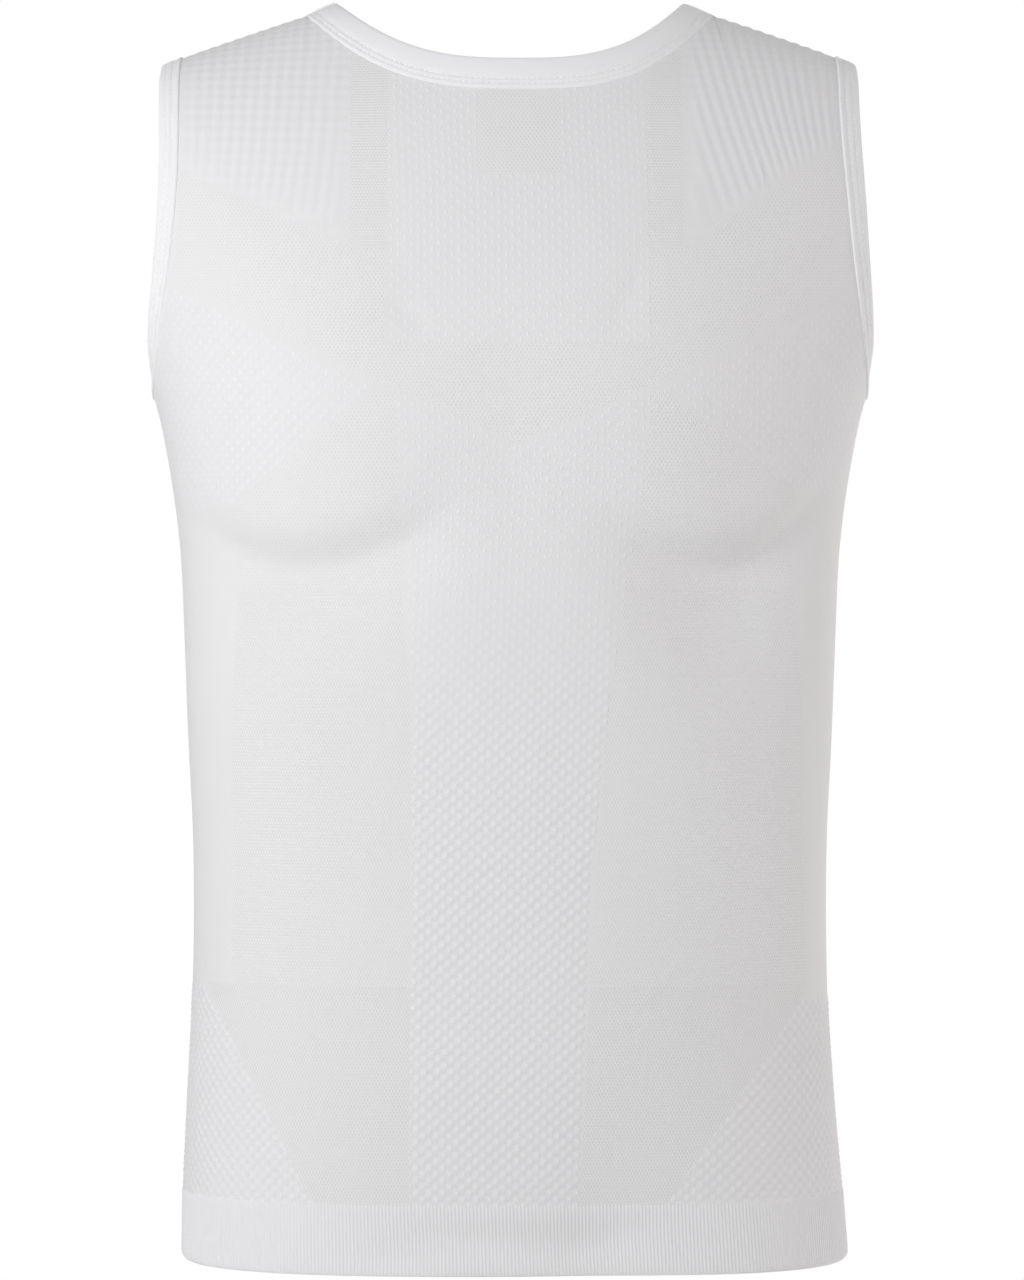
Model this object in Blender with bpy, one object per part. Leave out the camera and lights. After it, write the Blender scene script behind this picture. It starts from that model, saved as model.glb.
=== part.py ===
"""Sleeveless seamless base layer, kept in its worn, filled-out form.

The body is a knitted tube divided into a front and a back at the side lines and the shoulder
seams. A double welt closes the hem, and folded rib strips bind the neck and both armholes.

Frame: +Z up, the front faces -Y, +X is the side seen on the right from the front. The origin is
on the centre plane at mid-shoulder height, where the wearer's shoulders carry the garment.
Lengths in the tables and constants are millimetres.
"""

import math
from collections import namedtuple

import bmesh
import bpy
from mathutils import Vector

MM = 0.001

# ---------------------------------------------------------------- body, seen as level sections
Section = namedtuple("Section", "height centre half_width front_depth back_depth")
SECTIONS = (
    Section(height=-636, centre=2.6, half_width=172.6, front_depth=108.0, back_depth=104.0),
    Section(height=-600, centre=1.4, half_width=170.9, front_depth=106.5, back_depth=102.5),
    Section(height=-554, centre=0.4, half_width=167.7, front_depth=103.5, back_depth=98.0),
    Section(height=-507, centre=0.0, half_width=165.1, front_depth=101.5, back_depth=91.5),
    Section(height=-461, centre=0.0, half_width=164.1, front_depth=100.5, back_depth=86.5),
    Section(height=-414, centre=0.0, half_width=164.6, front_depth=100.5, back_depth=84.5),
    Section(height=-367, centre=0.0, half_width=166.9, front_depth=101.5, back_depth=87.0),
    Section(height=-320, centre=0.0, half_width=168.7, front_depth=103.0, back_depth=92.5),
    Section(height=-273, centre=0.0, half_width=170.8, front_depth=105.5, back_depth=98.5),
    Section(height=-242, centre=0.0, half_width=174.2, front_depth=108.0, back_depth=102.0),
    Section(height=-211, centre=0.0, half_width=179.4, front_depth=110.5, back_depth=104.5),
    Section(height=-197, centre=0.0, half_width=182.6, front_depth=111.5, back_depth=105.5),
    Section(height=-180, centre=0.2, half_width=187.5, front_depth=112.0, back_depth=106.0),
    Section(height=-150, centre=0.5, half_width=196.0, front_depth=112.0, back_depth=106.0),
    Section(height=-117, centre=0.9, half_width=203.5, front_depth=112.0, back_depth=106.0),
    Section(height=-86, centre=0.9, half_width=210.0, front_depth=112.0, back_depth=106.0),
    Section(height=-40, centre=-0.4, half_width=218.5, front_depth=112.0, back_depth=106.0),
    Section(height=-20, centre=-0.6, half_width=221.0, front_depth=112.0, back_depth=106.0),
    Section(height=40, centre=-0.6, half_width=221.0, front_depth=112.0, back_depth=106.0),
)
SECTION_POWER = 2.4          # a level section is a superellipse a little squarer than an ellipse

# ---------------------------------------------------------------- shoulders, armholes, neck
ARMHOLE_FOOT = -190.0        # lowest point of the armhole seam
SHOULDER_SLOPE = 0.375       # fall of the shoulder line for each millimetre outward
SHOULDER_APEX = 54.6         # height where the two shoulder lines would meet unrounded
SHOULDER_ROUND = 60.0        # rounding of that meeting, under the neck opening
SHOULDER_TURN = 50.0         # section angle, in degrees from the centre, of the armhole's top
ARMHOLE_HOOK = 0.55          # under 1 the armhole leaves the side line quickly, in a round foot
ARMHOLE_STRAIGHTNESS = 1.6   # over 1 it then climbs nearly straight to the shoulder
NECK_SEAM_HALF_WIDTH = 105.6
NECK_SEAM_POWER = 2.9        # how flat the neckline stays before it climbs to the shoulder
NECK_OPENING_HALF_WIDTH = 90.0
NECK_OPENING_TOP = 15.6
NECK_OPENING_INSET = 0.93    # depth of the opening's edge as a share of the seam's depth
NECK_DRIFT = 5.0             # the neck's lowest points lie this far to +X, as it is worn

# The roll powers round the way over the shoulder, at the centre and at the armhole.
Half = namedtuple("Half", "name outward roll_centre roll_armhole neck_seam neck_opening")
FRONT = Half("body_front", -1, 1.65, 2.1, -34.5, -18.5)
BACK = Half("body_back", 1, 1.9, 2.1, -24.5, -8.5)

# ---------------------------------------------------------------- walls and seams
BODY_WALL = 1.3
SEAM_GAP = 0.3
HEM_TOP = -599.5
HEM_BOTTOM = -635.0
HEM_SIDE_LIFT = 3.0          # the hem's lower edge rises this much at the side lines
HEM_SIDE_POWER = 8           # how near the side lines it begins to rise
BINDING_WIDTH = 11.0
BINDING_FOOT = 16.0          # the bindings stand upright at the armhole's foot, and lean out from
                             # about this far above it

# ---------------------------------------------------------------- chest fullness of the front
CHEST_FULLNESS = 6.5
CHEST_CENTRE = 98.0
CHEST_SPREAD = 62.0
CHEST_HEIGHT = -222.0
CHEST_RISE = 95.0            # length of the soft slope above the fullest level
CHEST_FALL = 38.0            # length of the quicker slope below it

# ---------------------------------------------------------------- ribs knitted over the shoulders
RIB_PITCH = 6.2
RIB_RELIEF = 0.8
RIB_FADE = 5.0
RIB_EDGE_MARGIN = 1.5        # plain knit between the last rib and the armhole seam
RIB_FIRST = 74.0             # the ribs' lines are counted from here to RIB_LAST on the shoulder
RIB_LAST = 167.0
RIB_TURNOUT_END = -112.0     # the ribs lean outward down to this height
RIB_TURNOUT_FADE = 85.0
RIB_TURNOUT_SKEW = 1.15      # over 1 the lean is greatest nearer the armhole
RibPanel = namedtuple("RibPanel", "side lean inner_edge low_inner low_outer")
RIB_PANELS = (
    RibPanel(side=-1, lean=3.0, inner_edge=83.0, low_inner=-111.0, low_outer=-76.0),
    RibPanel(side=1, lean=13.0, inner_edge=91.0, low_inner=-112.0, low_outer=-60.0),
)

# ---------------------------------------------------------------- how finely the walls are faceted
ROUND_COLUMNS = 30
INNER_COLUMNS = 20
LOWER_ROWS = (-575, -550, -525, -500, -475, -450, -425, -400, -375, -350, -325, -306, -291,
              -279, -267, -255, -241, -226, -208)
ARMHOLE_ROWS = 15
ARMHOLE_ROW_POWER = 1.45
ARMHOLE_FIRST_ROW = 0.005    # an added row that keeps the armhole's foot round
RIB_ROWS_FROM = 0.33         # share of the way up the armhole where the rows gain the rib lines
RIB_COLUMN_CLEARANCE = 0.03  # the even columns stop this far inside the first rib's column
SHARP_ANGLE = 50.0           # walls that meet at more degrees than this are shaded as an edge

# ---------------------------------------------------------------- steps and limits of the sums
BISECTIONS = 40
TOUCHING = 1e-6              # columns or distances this close are the same
ON_EDGE = 0.9999             # columns and rows over this lie on a panel's edge
SHARE_STEP = 0.004           # columns and upper rows are moved this far to find a slope
HEIGHT_STEP = 0.6            # and lower rows this far, in millimetres

KNIT_COLOUR = (0.80, 0.80, 0.80, 1.0)
KNIT_ROUGHNESS = 0.85
BAND_COLOUR = (0.83, 0.83, 0.84, 1.0)
BAND_ROUGHNESS = 0.8


def smooth_step(value):
    value = min(1.0, max(0.0, value))
    return value * value * (3.0 - 2.0 * value)


def section_value(height, column):
    """One column of SECTIONS at any height, along a smooth curve through the rows."""
    rows = SECTIONS
    height = min(rows[-1].height, max(rows[0].height, height))
    below = max(i for i in range(len(rows) - 1) if rows[i].height <= height)

    def slope(i):
        low, high = rows[max(0, i - 1)], rows[min(len(rows) - 1, i + 1)]
        return (getattr(high, column) - getattr(low, column)) / (high.height - low.height)

    low, high = rows[below], rows[below + 1]
    span = high.height - low.height
    t = (height - low.height) / span
    return (
        getattr(low, column) * (1 + 2 * t) * (1 - t) ** 2
        + getattr(high, column) * t * t * (3 - 2 * t)
        + slope(below) * span * t * (1 - t) ** 2
        - slope(below + 1) * span * t * t * (1 - t)
    )


def shoulder_height(across):
    """Height of the shoulder line at a distance from the centre plane."""
    return SHOULDER_APEX - SHOULDER_SLOPE * math.hypot(across, SHOULDER_ROUND)


def edge_turn(height):
    """Section angle of a panel's edge: the side line, and above it the armhole seam."""
    top = math.radians(SHOULDER_TURN)
    side = math.pi / 2
    if height <= ARMHOLE_FOOT:
        return side
    armhole_top = shoulder_height(section_value(0, "half_width") * math.sin(top))
    climb = min(1.0, (height - ARMHOLE_FOOT) / (armhole_top - ARMHOLE_FOOT))
    return top + (side - top) * (1 - climb**ARMHOLE_HOOK) ** ARMHOLE_STRAIGHTNESS


def shoulder_across(column):
    """Where a column of the panel, from -1 to 1, meets the shoulder line."""
    turn = column * math.radians(SHOULDER_TURN)
    return section_value(0, "centre") + section_value(0, "half_width") * math.sin(turn)


def column_at(across):
    """The column that meets the shoulder line at this distance from the centre plane."""
    off_centre = across - section_value(0, "centre")
    return math.asin(off_centre / section_value(0, "half_width")) / math.radians(SHOULDER_TURN)


def rib_panel(across):
    return RIB_PANELS[0] if across < 0 else RIB_PANELS[1]


def across_at(column, height):
    """Distance from the centre plane of a column at a height, with the ribs' outward lean."""
    across = section_value(height, "half_width") * math.sin(column * edge_turn(height))
    across += section_value(height, "centre")
    if height <= ARMHOLE_FOOT:
        return across
    top = shoulder_across(column)
    share = min(1.0, abs(top / shoulder_across(math.copysign(1, column))))
    lean = math.radians(rib_panel(column).lean)
    lean *= math.sin(math.pi * share**RIB_TURNOUT_SKEW)
    fade = 1 - smooth_step((RIB_TURNOUT_END - height) / RIB_TURNOUT_FADE)
    drop = shoulder_height(top) - height
    return across + math.copysign(math.tan(lean) * drop * fade, column)


def neck_share(across):
    """0 at the lowest point of the neck seam, 1 at its ends on the shoulders."""
    share = min(1.0, abs(across) / NECK_SEAM_HALF_WIDTH)
    return abs(across - NECK_DRIFT * (1 - share**2)) / NECK_SEAM_HALF_WIDTH


def neck_seam_height(across, half):
    end = shoulder_height(NECK_SEAM_HALF_WIDTH)
    return half.neck_seam + (end - half.neck_seam) * neck_share(across) ** NECK_SEAM_POWER


def column_top(column, half):
    """Height where a column ends: at the neck seam, or outside it at the shoulder line."""
    top = shoulder_height(shoulder_across(column))
    if abs(shoulder_across(column)) >= NECK_SEAM_HALF_WIDTH - TOUCHING:
        return top
    low, high = ARMHOLE_FOOT, top
    for _ in range(BISECTIONS):
        middle = (low + high) / 2
        if middle < neck_seam_height(across_at(column, middle), half):
            low = middle
        else:
            high = middle
    return low


def chest(across, height, half):
    """Soft fullness over the chest, front only, with a shallow hollow at the centre."""
    if half is not FRONT:
        return 0.0
    reach = CHEST_RISE if height > CHEST_HEIGHT else CHEST_FALL
    level = math.exp(-(((height - CHEST_HEIGHT) / reach) ** 2))
    spread = math.exp(-(((abs(across) - CHEST_CENTRE) / CHEST_SPREAD) ** 2))
    return CHEST_FULLNESS * level * spread


def surface_point(column, row, half):
    """Outer surface of the body in millimetres.

    row runs from the hem's height in millimetres up to ARMHOLE_FOOT, and from 0 to 1 above it,
    where 1 is the neck seam or the shoulder seam.
    """
    depth_name = "front_depth" if half is FRONT else "back_depth"
    if row < -1:
        height, roll = row, 1.0
    else:
        line = shoulder_height(shoulder_across(column)) - ARMHOLE_FOOT
        share = min(1.0, (column_top(column, half) - ARMHOLE_FOOT) / line)
        rise = math.sin(row * math.asin(share))
        height = ARMHOLE_FOOT + line * rise
        power = half.roll_centre + (half.roll_armhole - half.roll_centre) * column**2
        roll = max(0.0, 1 - rise**power) ** (1 / power)
    across = across_at(column, height)
    off_centre = abs(across - section_value(height, "centre"))
    share = min(1.0, off_centre / section_value(height, "half_width"))
    rounding = (1 - share**SECTION_POWER) ** (1 / SECTION_POWER)
    depth = section_value(height, depth_name) - SEAM_GAP / 2 + chest(across, height, half)
    return Vector((across, half.outward * (SEAM_GAP / 2 + depth * rounding * roll), height))


def surface_normal(column, row, half):
    """Unit normal of the body, pointing out. At the side and shoulder seams it lies in the seam."""
    if row == 0:
        row = ARMHOLE_FOOT      # the same level, where the side line below still has a slope
    below_foot = row < -1
    step = HEIGHT_STEP if below_foot else SHARE_STEP
    lower_row = row - step if below_foot else max(0.0, row - step)
    upper_row = min(ARMHOLE_FOOT if below_foot else 1.0, row + step)
    along = surface_point(min(1, column + SHARE_STEP), row, half) - surface_point(
        max(-1, column - SHARE_STEP), row, half
    )
    up = surface_point(column, upper_row, half) - surface_point(column, lower_row, half)
    normal = along.cross(up) * -half.outward
    on_side = abs(column) > ON_EDGE and below_foot
    over_neck = abs(shoulder_across(column)) < NECK_SEAM_HALF_WIDTH - TOUCHING
    on_shoulder = row > ON_EDGE and not over_neck
    if on_side or on_shoulder:
        normal.y = 0
    return normal.normalized()


def rib_relief(column, point):
    """How far the shoulder ribs stand out: crests on whole numbers of the rib pitch."""
    panel = rib_panel(column)
    across = abs(point.x)
    outer = abs(shoulder_across(math.copysign(1, column)))
    along = (across - panel.inner_edge) / (outer - panel.inner_edge)
    low_edge = panel.low_inner + (panel.low_outer - panel.low_inner) * min(1, max(0, along))
    inside = min(
        across - panel.inner_edge,
        outer - RIB_EDGE_MARGIN - abs(shoulder_across(column)),
        point.z - low_edge,
    )
    phase = (abs(shoulder_across(column)) - RIB_FIRST) / RIB_PITCH
    crest = 0.5 + 0.5 * math.cos(2 * math.pi * phase)
    return RIB_RELIEF * crest * smooth_step(inside / RIB_FADE)


def even_columns(count):
    return [-1 + 2 * i / count for i in range(count + 1)]


def neck_corners():
    """The two columns where the neck seam meets the shoulder seams."""
    return column_at(-NECK_SEAM_HALF_WIDTH), column_at(NECK_SEAM_HALF_WIDTH)


def with_corners(columns):
    """Moves the nearest columns onto the neck's two corners."""
    moved = list(columns)
    for target in neck_corners():
        nearest = min(range(len(moved)), key=lambda i: abs(moved[i] - target))
        moved[nearest] = target
    return moved


def rib_columns():
    """Columns of the rows that cross the ribs: one on each crest and one in each groove."""
    half_pitch = RIB_PITCH / 2
    lines = int((RIB_LAST - RIB_FIRST) / half_pitch)
    ribs = [
        column_at(side * (RIB_FIRST + i * half_pitch)) for side in (-1, 1) for i in range(lines + 1)
    ]
    clear = min(abs(column) for column in ribs) - RIB_COLUMN_CLEARANCE
    middle = [column for column in even_columns(ROUND_COLUMNS) if abs(column) < clear]
    return with_corners(sorted([-1, 1] + middle + ribs))


def panel_rows(inner):
    """(row, columns) pairs from the hem seam to the neck and shoulder seams."""
    plain = with_corners(even_columns(INNER_COLUMNS if inner else ROUND_COLUMNS))
    ribbed = plain if inner else rib_columns()
    rows = [(HEM_TOP + SEAM_GAP / 2, plain)] + [(height, plain) for height in LOWER_ROWS]
    shares = [0.0, ARMHOLE_FIRST_ROW] + [
        (i / ARMHOLE_ROWS) ** ARMHOLE_ROW_POWER for i in range(1, ARMHOLE_ROWS + 1)
    ]
    rows += [(share, ribbed if share >= RIB_ROWS_FROM else plain) for share in shares]
    rows[-1] = (1.0, rib_columns())
    return rows


def zip_rows(mesh, lower, upper):
    """Fills the band between two rows of (column, vertex), whatever number each one has."""
    i = j = 0
    while i < len(lower) - 1 or j < len(upper) - 1:
        step_lower = j == len(upper) - 1 or (
            i < len(lower) - 1 and lower[i + 1][0] <= upper[j + 1][0]
        )
        if step_lower and i < len(lower) - 1 and j < len(upper) - 1:
            if abs(lower[i + 1][0] - upper[j + 1][0]) < TOUCHING:
                corners = (lower[i], lower[i + 1], upper[j + 1], upper[j])
                mesh.faces.new([vertex for _, vertex in corners])
                i, j = i + 1, j + 1
                continue
        if step_lower:
            corners = (lower[i], lower[i + 1], upper[j])
            i += 1
        else:
            corners = (lower[i], upper[j + 1], upper[j])
            j += 1
        mesh.faces.new([vertex for _, vertex in corners])


def add_object(name, mesh, colour, roughness):
    """Makes the finished bmesh an object with its own material."""
    bmesh.ops.recalc_face_normals(mesh, faces=mesh.faces)
    bmesh.ops.triangulate(mesh, faces=mesh.faces)
    data = bpy.data.meshes.new(name)
    mesh.to_mesh(data)
    mesh.free()
    data.shade_smooth()
    data.set_sharp_from_angle(angle=math.radians(SHARP_ANGLE))
    material = bpy.data.materials.new(name + "_cloth")
    material.use_nodes = True
    shader = material.node_tree.nodes["Principled BSDF"]
    shader.inputs["Base Color"].default_value = colour
    shader.inputs["Roughness"].default_value = roughness
    shader.inputs["Metallic"].default_value = 0.0
    data.materials.append(material)
    bpy.context.scene.collection.objects.link(bpy.data.objects.new(name, data))


def body_panel(half):
    """Front or back: an outer wall with the raised ribs over a plain inner wall."""
    mesh = bmesh.new()

    def wall(inner):
        grid = []
        for row, columns in panel_rows(inner):
            line = []
            for column in columns:
                point = surface_point(column, row, half)
                normal = surface_normal(column, row, half)
                out = -BODY_WALL if inner else (rib_relief(column, point) if row >= 0 else 0.0)
                line.append((column, mesh.verts.new((point + normal * out) * MM)))
            grid.append(line)
        for lower, upper in zip(grid, grid[1:]):
            zip_rows(mesh, lower, upper)
        return grid

    outer, inner = wall(False), wall(True)
    zip_rows(mesh, outer[0], inner[0])
    zip_rows(mesh, outer[-1], inner[-1])
    for end in (0, -1):
        edge_outer = [(i, line[end][1]) for i, line in enumerate(outer)]
        edge_inner = [(i, line[end][1]) for i, line in enumerate(inner)]
        zip_rows(mesh, edge_outer, edge_inner)
    add_object(half.name, mesh, KNIT_COLOUR, KNIT_ROUGHNESS)


# A band's section: share of its width from the seam, and height over the body's outer surface.
Corner = namedtuple("Corner", "share lift")
BAND_SECTION = (
    Corner(0.0, 0.3), Corner(0.1, 0.6), Corner(0.8, 0.6), Corner(1.0, 0.0),
    Corner(1.0, -1.1), Corner(0.85, -1.6), Corner(0.0, -1.5),
)
BINDING_SECTION = (
    Corner(0.0, 0.3), Corner(0.12, 1.0), Corner(0.3, 0.5), Corner(0.8, 0.5), Corner(1.0, -0.1),
    Corner(1.0, -1.1), Corner(0.8, -1.6), Corner(0.0, -1.5),
)
HEM_SECTION = (
    Corner(0.0, 0.2), Corner(0.06, 0.45), Corner(0.94, 0.45), Corner(1.0, 0.0),
    Corner(1.0, -1.1), Corner(0.94, -1.5), Corner(0.0, -1.5),
)


def band(name, seam, opening, outward, section):
    """A closed strip from a loop of seam points to the loop of its free edge.

    At the seam the strip is square to the body's wall, and it turns into its own plane from there.
    """
    mesh = bmesh.new()
    count = len(seam)
    rings = []
    for i in range(count):
        across = opening[i] - seam[i]
        along = seam[(i + 1) % count] - seam[i - 1]
        normal = along.cross(across).normalized()
        if normal.dot(outward[i]) < 0:
            normal.negate()
        start = seam[i] + across.normalized() * SEAM_GAP
        ring = []
        for corner in section:
            lift = outward[i].lerp(normal, min(1.0, 2 * corner.share)).normalized() * corner.lift
            ring.append(mesh.verts.new((start.lerp(opening[i], corner.share) + lift) * MM))
        rings.append(ring)
    for i, ring in enumerate(rings):
        following = rings[(i + 1) % count]
        for k, vertex in enumerate(ring):
            m = (k + 1) % len(ring)
            mesh.faces.new((vertex, ring[m], following[m], following[k]))
    add_object(name, mesh, BAND_COLOUR, BAND_ROUGHNESS)


def hem_band():
    seam, opening, outward = [], [], []
    columns = even_columns(ROUND_COLUMNS)
    for half, order in ((FRONT, columns[:-1]), (BACK, columns[:0:-1])):
        for column in order:
            top = surface_point(column, HEM_TOP - SEAM_GAP / 2, half)
            lift = HEM_SIDE_LIFT * abs(column) ** HEM_SIDE_POWER
            bottom = surface_point(column, HEM_BOTTOM + lift, half)
            if abs(column) == 1:
                top.y = bottom.y = 0
            seam.append(top + (top - bottom).normalized() * SEAM_GAP)
            opening.append(bottom)
            outward.append(surface_normal(column, HEM_TOP, half))
    band("hem_band", seam, opening, outward, HEM_SECTION)


def neckband():
    seam, opening, outward = [], [], []
    corners = neck_corners()
    columns = [column for column in rib_columns() if corners[0] <= column <= corners[1]]
    for half, order in ((FRONT, columns[:-1]), (BACK, columns[:0:-1])):
        for column in order:
            point = surface_point(column, 1, half)
            if column in corners:
                point.y = 0
            climb = neck_share(point.x) ** NECK_SEAM_POWER
            climb *= NECK_OPENING_TOP - half.neck_opening
            seam.append(point)
            opening.append(Vector((
                point.x * NECK_OPENING_HALF_WIDTH / NECK_SEAM_HALF_WIDTH,
                point.y * NECK_OPENING_INSET,
                half.neck_opening + climb,
            )))
            outward.append(surface_normal(column, 1, half))
    band("neckband", seam, opening, outward, BAND_SECTION)


def armhole_binding(name, side):
    """The strip carries on from the body, square to the seam, and narrows the opening.

    Round the foot it stands upright, where the body's wall leans out.
    """
    rows = [row for row, _ in panel_rows(False) if row >= 0]
    seam, outward = [], []
    for half, order in ((FRONT, rows[:-1]), (BACK, rows[:0:-1])):
        for row in order:
            point = surface_point(side, row, half)
            if row in (0, 1):
                point.y = 0
            seam.append(point)
            outward.append(surface_normal(side, row, half))
    count = len(seam)
    opening = []
    for i, point in enumerate(seam):
        along = seam[(i + 1) % count] - seam[i - 1]
        facing = outward[i].copy()
        facing.z *= 1 - math.exp(-(((point.z - ARMHOLE_FOOT) / BINDING_FOOT) ** 2))
        across = along.cross(facing).normalized() * side
        opening.append(point + across * BINDING_WIDTH)
    band(name, seam, opening, outward, BINDING_SECTION)


def main():
    for old in list(bpy.data.objects):
        bpy.data.objects.remove(old, do_unlink=True)
    body_panel(FRONT)
    body_panel(BACK)
    hem_band()
    neckband()
    armhole_binding("armhole_binding_left", -1)
    armhole_binding("armhole_binding_right", 1)


main()
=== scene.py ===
import logging
import math
from dataclasses import dataclass, field
from enum import Enum

import bmesh
import bpy
import numpy as np
from mathutils import Matrix, Vector


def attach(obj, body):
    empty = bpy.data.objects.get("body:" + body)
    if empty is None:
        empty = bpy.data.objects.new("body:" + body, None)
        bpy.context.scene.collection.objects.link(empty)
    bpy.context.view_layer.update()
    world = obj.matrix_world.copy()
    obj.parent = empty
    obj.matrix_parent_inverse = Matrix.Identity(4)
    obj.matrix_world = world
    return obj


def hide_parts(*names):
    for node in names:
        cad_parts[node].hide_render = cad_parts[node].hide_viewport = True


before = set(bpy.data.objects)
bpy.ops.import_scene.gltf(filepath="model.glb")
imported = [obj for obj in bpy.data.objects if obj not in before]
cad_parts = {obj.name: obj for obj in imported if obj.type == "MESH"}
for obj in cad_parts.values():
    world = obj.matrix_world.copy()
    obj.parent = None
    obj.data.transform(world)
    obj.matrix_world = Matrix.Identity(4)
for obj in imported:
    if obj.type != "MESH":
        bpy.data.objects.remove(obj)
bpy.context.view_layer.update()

LOG = logging.getLogger("base_layer")

MM = 0.001          # the sizes below are millimetres, and meshes are metres
BODY = "root"       # the one body that every piece rides on
SHARP_EDGE = math.radians(60)
TINY = 1e-9         # keeps divisions from zero
Points = np.ndarray
Values = np.ndarray
Socket = bpy.types.NodeSocket


# ================================================================ small tools
def smooth(value: Values) -> Values:
    """Goes from 0 to 1 as value does, with level ends."""
    value = np.clip(value, 0.0, 1.0)
    return value * value * (3.0 - 2.0 * value)


def unit(vectors: Points) -> Points:
    """Vectors brought to length 1."""
    return vectors / np.maximum(np.linalg.norm(vectors, axis=-1, keepdims=True), TINY)


def arc_lengths(points: Points) -> Values:
    """Distance along a polyline to each of its points."""
    steps = np.linalg.norm(np.diff(points, axis=0), axis=1)
    return np.concatenate(([0.0], np.cumsum(steps)))


def evenly_spaced(along: Values, count: int, *tracks: Points) -> list[Points]:
    """Resamples rows of points at even distances.

    Args:
        along: distance to each of the old points.
        count: number of new points, both ends included.
        tracks: arrays with a row for each old point.

    Returns:
        One array for each track, with a row for each new point.
    """
    wanted = np.linspace(along[0], along[-1], count)
    return [
        np.stack([np.interp(wanted, along, track[:, k]) for k in range(track.shape[1])], axis=1)
        for track in tracks
    ]


def softened(track: Points, reach: int) -> Points:
    """A closed track of rows, each averaged with this many neighbours on both sides."""
    shifts = range(-reach, reach + 1)
    return sum(np.roll(track, shift, axis=0) for shift in shifts) / len(shifts)


def linear_colour(hex_code: str) -> tuple[float, float, float, float]:
    """Turns an sRGB hex colour to the linear values that a shader takes.

    Args:
        hex_code: six hexadecimal digits.

    Returns:
        Red, green, blue and an alpha of 1.
    """
    channels = [int(hex_code[i:i + 2], 16) / 255 for i in (0, 2, 4)]
    linear = [c / 12.92 if c <= 0.04045 else ((c + 0.055) / 1.055) ** 2.4 for c in channels]
    return linear[0], linear[1], linear[2], 1.0


def add_object(name: str, data: bpy.types.ID) -> bpy.types.Object:
    """Makes an object of a mesh, a light or a camera, and puts it in the scene."""
    made = bpy.data.objects.new(name, data)
    bpy.context.scene.collection.objects.link(made)
    return made


# ================================================================ the garment's form
@dataclass(frozen=True)
class Section:
    """One level section of the body."""

    height: float
    centre: float
    half_width: float
    front_depth: float
    back_depth: float


@dataclass(frozen=True)
class HalfSizes:
    """What differs between the front half and the back half of the body."""

    outward: int
    depth: str
    roll_centre: float
    roll_armhole: float
    neck_seam: float
    neck_opening: float


class Half(Enum):
    """The two halves of the knitted tube."""

    FRONT = HalfSizes(
        outward=-1, depth="front_depth", roll_centre=1.65, roll_armhole=2.1,
        neck_seam=-34.5, neck_opening=-18.5,
    )
    BACK = HalfSizes(
        outward=1, depth="back_depth", roll_centre=1.9, roll_armhole=2.1,
        neck_seam=-24.5, neck_opening=-8.5,
    )


@dataclass(frozen=True)
class RibPanel:
    """Where the raised ribs lie on one shoulder, and how far they stand out."""

    lean: float
    inner_edge: float
    low_inner: float
    low_outer: float
    relief: float


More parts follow.
